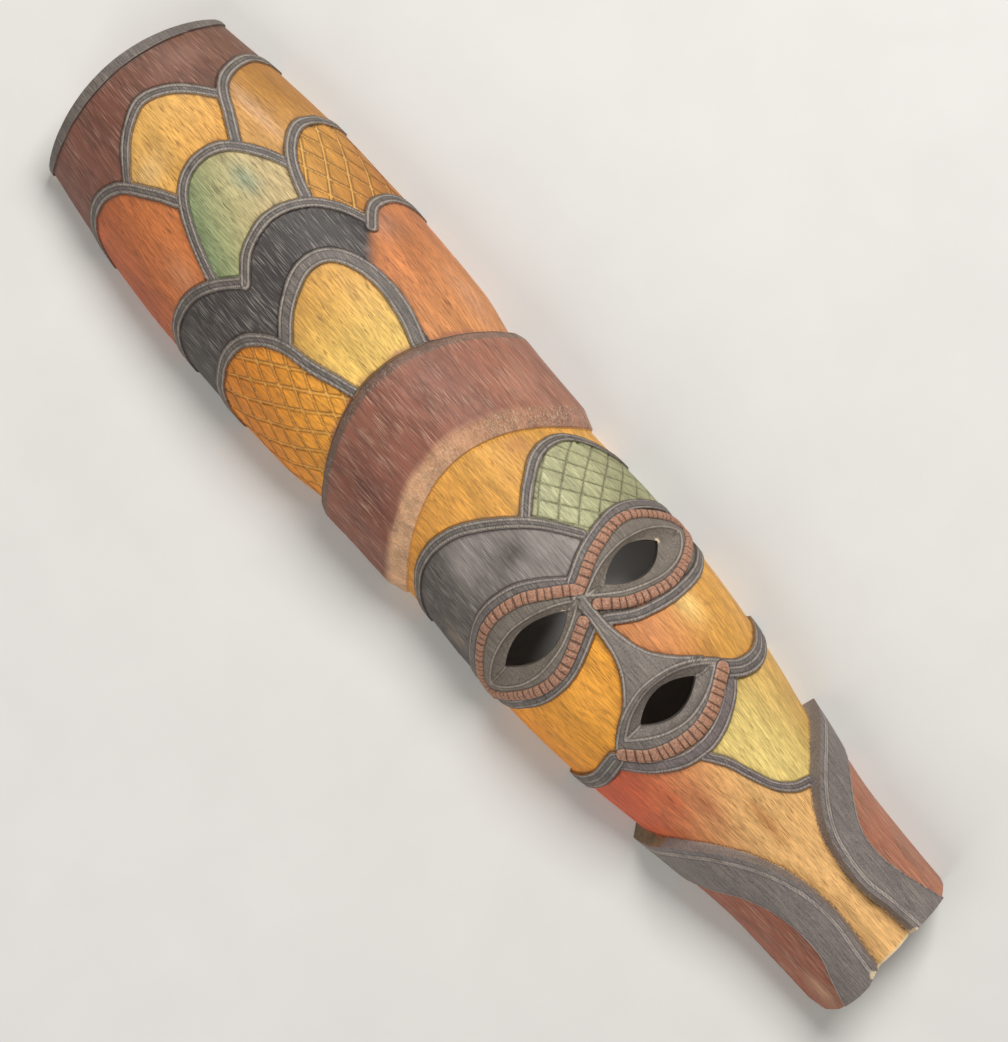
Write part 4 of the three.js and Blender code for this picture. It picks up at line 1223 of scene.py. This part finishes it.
class Bench:
    """A material and the nodes laid out on it."""

    def __init__(self, name):
        self.material = bpy.data.materials.new(name)
        self.material.use_nodes = True
        self.tree = self.material.node_tree
        self.shader = self.tree.nodes["Principled BSDF"]

    def connect(self, socket, value):
        """Links a wire to a socket, or sets the socket to a constant."""
        if isinstance(value, Wire):
            self.tree.links.new(value.socket, socket)
        else:
            socket.default_value = value

    def node(self, kind, settings, inputs, output=0):
        """Adds a node, makes its settings, fills its sockets and returns one of its outputs."""
        made = self.tree.nodes.new("ShaderNode" + kind)
        for name, value in settings.items():
            setattr(made, name, value)
        for name, value in inputs.items():
            self.connect(made.inputs[name], value)
        return Wire(self, made.outputs[output])

    def attribute(self, name, output="Fac"):
        return self.node("Attribute", {"attribute_name": name}, {}, output)

    def noise(self, place, across, along, detail=2.0, seed=0.0):
        """Noise whose grains are so many metres wide and long."""
        inputs = {0: place, 1: (1 / across, 1 / along, 1 / across), 2: (seed, seed * 0.7, seed * 0.3)}
        spot = self.node("VectorMath", {"operation": "MULTIPLY_ADD"}, inputs)
        return self.node("TexNoise", {}, {"Vector": spot, "Scale": 1.0, "Detail": detail, "Roughness": 0.55})

    def mix(self, factor, first, second, blend="MIX"):
        """A colour between two colours."""
        settings = {"data_type": "RGBA", "blend_type": blend, "clamp_factor": True}
        return self.node("Mix", settings, {0: factor, 6: first, 7: second}, output=2)

    def shade(self, colour, tone):
        """A colour made darker or lighter by a factor."""
        return self.mix(1.0, colour, self.node("CombineColor", {}, {0: tone, 1: tone, 2: tone}), "MULTIPLY")

    def finish(self, **sockets):
        """Fills the shader's own sockets and returns the material."""
        for name, value in sockets.items():
            self.connect(self.shader.inputs[name.replace("_", " ")], value)
        return self.material


def solid(text):
    """A plain colour for a socket."""
    return (*stain(text), 1)


# %% [markdown]
# ## Stained and scratched wood
#
# Light stains let the pores show as short dark dashes along the grain. Dark stains show the opposite: fine
# scratches that lay the pale wood bare. Both are noise stretched along the mask, cut off at a threshold.
# The borders are mottled charcoal with a pale engraved line inside each edge and a dark line at their foot,
# which is painted shade in the crease with some dark stain.

# %% Material of the front
FIBRE = 0.36 * MM


def stained_front():
    """Stained fields, dark trims, rows of teeth and bare chips, laid over each other in that order."""
    bench = Bench("stained_front")
    place = bench.attribute("sheet", "Vector")
    border, seam, tooth = (bench.attribute(name + "_mm") for name in ("border", "seam", "tooth"))
    broad = bench.noise(place, 7 * MM, 40 * MM, 2, 3)
    streak = bench.noise(place, 0.9 * MM, 16 * MM, 3, 7)
    grain = bench.noise(place, FIBRE, 7 * MM, 2, 5)
    pore = bench.noise(place, FIBRE, 5 * MM, 1, 11)
    scratch = bench.noise(place, FIBRE, 10 * MM, 1, 13)
    grit = bench.noise(place, 0.45 * MM, 0.8 * MM, 2, 17)
    patch = bench.noise(place, 8 * MM, 12 * MM, 2, 23)

    long = bench.attribute("scratched")
    pores = pore.rise(0.52, 0.66) * (0.3 + 0.7 * streak.rise(0.35, 0.6))
    scratches = scratch.rise(0.52, 0.64) * (0.25 + 0.75 * patch.rise(0.35, 0.6))
    worn = pores * (1 - long) + scratches * long
    field = bench.mix(worn * 0.68, bench.attribute("field", "Color"), bench.attribute("grain", "Color"))
    tone = 0.6 + 0.26 * broad.rise(0.3, 0.7) + 0.26 * streak.rise(0.35, 0.65) + 0.28 * grain.rise(0.35, 0.65)
    field = bench.shade(field, tone)

    field = bench.mix(patch.rise(0.42, 0.62) * long * 0.3, field, bench.shade(field, 0.45))
    fade = bench.noise(place, 11 * MM, 26 * MM, 2, 31).rise(0.45, 0.75)
    field = bench.mix(fade * (1 - long) * 0.22, field, bench.shade(field, 1.5))

    hatch, highlit_grooves = bench.attribute("hatch_mm"), bench.attribute("highlit_grooves")
    # Painted shade in the crossed grooves: a dark line down each groove, and on the orange fields dark walls
    # either side of the middle.
    groove_shade = hatch.line(0, 0.8) * (1 - highlit_grooves) + hatch.line(0.7, 0.5) * highlit_grooves
    field = bench.mix(groove_shade * 0.75, field, bench.shade(field, 0.28))
    # Painted highlight down the middle of each groove on the orange hatched fields.
    field = bench.mix(hatch.line(0, 0.42) * highlit_grooves * 0.75, field, solid("F2C46C"))
    above = bench.attribute("above_band_mm")
    stray = above.rise(-0.5, 0.2) * (1 - (above + 9 * patch).rise(4, 7.5))
    field = bench.mix(stray * 0.75, field, solid("96604E"))
    # A dark line at the foot of each raised part: painted shade in the crease, with some dark stain run into
    # it.
    field = bench.mix(seam.line(-0.3, 0.6) * 0.8, field, solid("261E1A"))
    smear = seam.rise(-2.2, -0.3) * patch.rise(0.42, 0.62)
    field = bench.mix(smear * 0.42, field, solid("54463C"))

    mottle = 0.42 + 0.5 * grit.rise(0.35, 0.65) + 0.3 * streak.rise(0.35, 0.65) + 0.3 * grain.rise(0.35, 0.65)
    trim = bench.shade(bench.attribute("trim", "Color"), mottle)
    trim = bench.mix(scratches * 0.5, trim, solid("A89C90"))
    line = bench.attribute("engraved_mm")
    # Painted shade: a dark line on either side of each engraved line, on the shoulders of the cut.
    trim = bench.mix(line.line(0.75, 0.4) * 0.5, trim, solid("2A2624"))
    pale = line.line(0, 0.5) * (0.35 + 0.65 * patch.rise(0.3, 0.5)) * (0.4 + 0.6 * grit.rise(0.25, 0.55))
    trim = bench.mix(pale * 0.85, trim, solid("BDB0A2"))
    # The outer edge of the trims is lighter in patches: worn wood, and a painted highlight on the edge.
    arris = border.line(0.1, 0.3) * patch.rise(0.35, 0.6)
    trim = bench.mix(arris * 0.45, trim, solid("A09486"))
    colour = bench.mix(border.rise(-0.12, 0.12), field, trim)

    run = bench.attribute("tooth_run")
    middle = run.math("FRACT", run) - 0.5
    notch = middle.math("ABSOLUTE", middle).rise(0.32, 0.47)
    pad = bench.mix(grit.rise(0.3, 0.7), solid("8C5A46"), solid("C09274"))
    # A painted highlight along the rounded shoulder of each tooth.
    pad = bench.mix(tooth.line(0.5, 0.4) * 0.4, pad, solid("D2A486"))
    # Painted shade in the notch between each pair of teeth.
    pad = bench.mix(notch * 0.75, pad, solid("38241C"))
    # Painted shade: a dark line at the foot of each row of teeth.
    colour = bench.mix(tooth.line(-0.3, 0.45) * 0.7, colour, solid("241C1A"))
    colour = bench.mix(tooth.rise(-0.1, 0.1), colour, pad)
    chip = (bench.attribute("bare_mm") + 3 * (grit - 0.5)).rise(0, 0.7)
    colour = bench.mix(chip * 0.85, colour, solid("E2CDA6"))

    height = 0.5 * (1 - pores) + 0.35 * streak + 0.3 * grit - 0.4 * scratches
    normal = bench.node("Bump", {}, {"Strength": 0.6, "Distance": 0.25 * MM, "Height": height})
    return bench.finish(Base_Color=colour, Roughness=0.45 + 0.22 * grit, Normal=normal)


# %% [markdown]
# ## Bare wood
#
# The back, the rim and the sawn ends were never stained. They are plain reddish brown wood with gouge marks
# and long grain, darker where hands and dust have been.

# %% Material of the back
def bare_back():
    """Unstained wood for the back, the rim and both ends."""
    bench = Bench("bare_back")
    place = bench.node("TexCoord", {}, {}, "Object")
    broad = bench.noise(place, 7 * MM, 70 * MM, 2, 5)
    streak = bench.noise(place, 1.3 * MM, 22 * MM, 3, 9)
    dash = bench.noise(place, 0.6 * MM, 5 * MM, 1, 13)
    colour = bench.mix(broad.rise(0.3, 0.7), solid("7A5236"), solid("A67A50"))
    colour = bench.mix(streak.rise(0.4, 0.75) * 0.6, colour, solid("5E3C26"))
    colour = bench.mix(dash.rise(0.6, 0.7) * 0.6, colour, solid("3C2618"))
    height = 0.6 * streak + 0.4 * (1 - dash.rise(0.6, 0.7))
    normal = bench.node("Bump", {}, {"Strength": 0.5, "Distance": 0.4 * MM, "Height": height})
    return bench.finish(Base_Color=colour, Roughness=0.7 + 0.15 * streak, Normal=normal)


carving.materials.append(stained_front())
carving.materials.append(bare_back())
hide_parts("carved_mask")
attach(piece, "root")

# %% [markdown]
# ## The studio
#
# The mask lies on a plain pale floor. The camera looks straight down on it, turned so that the crown points
# to the upper left. One large soft light stands on the right, a weaker one on the left opens the shadows.

# %% Floor, lights and camera
FLOOR_HALF = 1.6
floor_mesh = bmesh.new()
bmesh.ops.create_grid(floor_mesh, x_segments=1, y_segments=1, size=FLOOR_HALF)
floor_block = bpy.data.meshes.new("floor")
floor_mesh.to_mesh(floor_block)
floor_mesh.free()
floor = bpy.data.objects.new("floor", floor_block)
bpy.context.scene.collection.objects.link(floor)
paper = Bench("floor_paper")
speck = paper.noise(paper.node("TexCoord", {}, {}, "Object"), 40 * MM, 40 * MM, 3, 2)
paper_colour = paper.mix(speck, solid("D9D7D2"), solid("E2E0DB"))
floor_block.materials.append(paper.finish(Base_Color=paper_colour, Roughness=0.9))
floor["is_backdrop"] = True


def soft_light(name, place, target, size, power):
    """A square area light that faces a point."""
    lamp = bpy.data.lights.new(name, "AREA")
    lamp.size = size
    lamp.energy = power
    light = bpy.data.objects.new(name, lamp)
    light.location = place
    light.rotation_euler = (Vector(target) - Vector(place)).to_track_quat("-Z", "Y").to_euler()
    bpy.context.scene.collection.objects.link(light)


soft_light("key", (1.1, 0.45, 1.45), (0, 0, 0), 0.8, 31)
soft_light("fill", (-1.3, -0.2, 1.2), (0, 0, 0), 1.0, 12)
world = bpy.data.worlds.new("studio")
world.use_nodes = True
world.node_tree.nodes["Background"].inputs["Color"].default_value = (1, 0.98, 0.95, 1)
world.node_tree.nodes["Background"].inputs["Strength"].default_value = 0.2
bpy.context.scene.world = world
bpy.context.scene.view_settings.view_transform = "Standard"

PHOTO_HEIGHT = 1042
FOCAL_PIXELS = 3126
camera_data = bpy.data.cameras.new("camera")
camera_data.sensor_width = 36
camera_data.lens = 36 * FOCAL_PIXELS / PHOTO_HEIGHT
camera_data.shift_x = 2.3 / PHOTO_HEIGHT
camera_data.shift_y = -7.9 / PHOTO_HEIGHT
camera = bpy.data.objects.new("camera", camera_data)
camera.location = (0, MIDDLE_SHIFT, 1.35)
camera.rotation_euler = (0, 0, math.radians(-41.3))
bpy.context.scene.collection.objects.link(camera)
bpy.context.scene.camera = camera

# %% Write the sizes and finish
low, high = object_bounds()
print("visual box in mm:", [round(v * 1000, 1) for v in (*low, *high)])
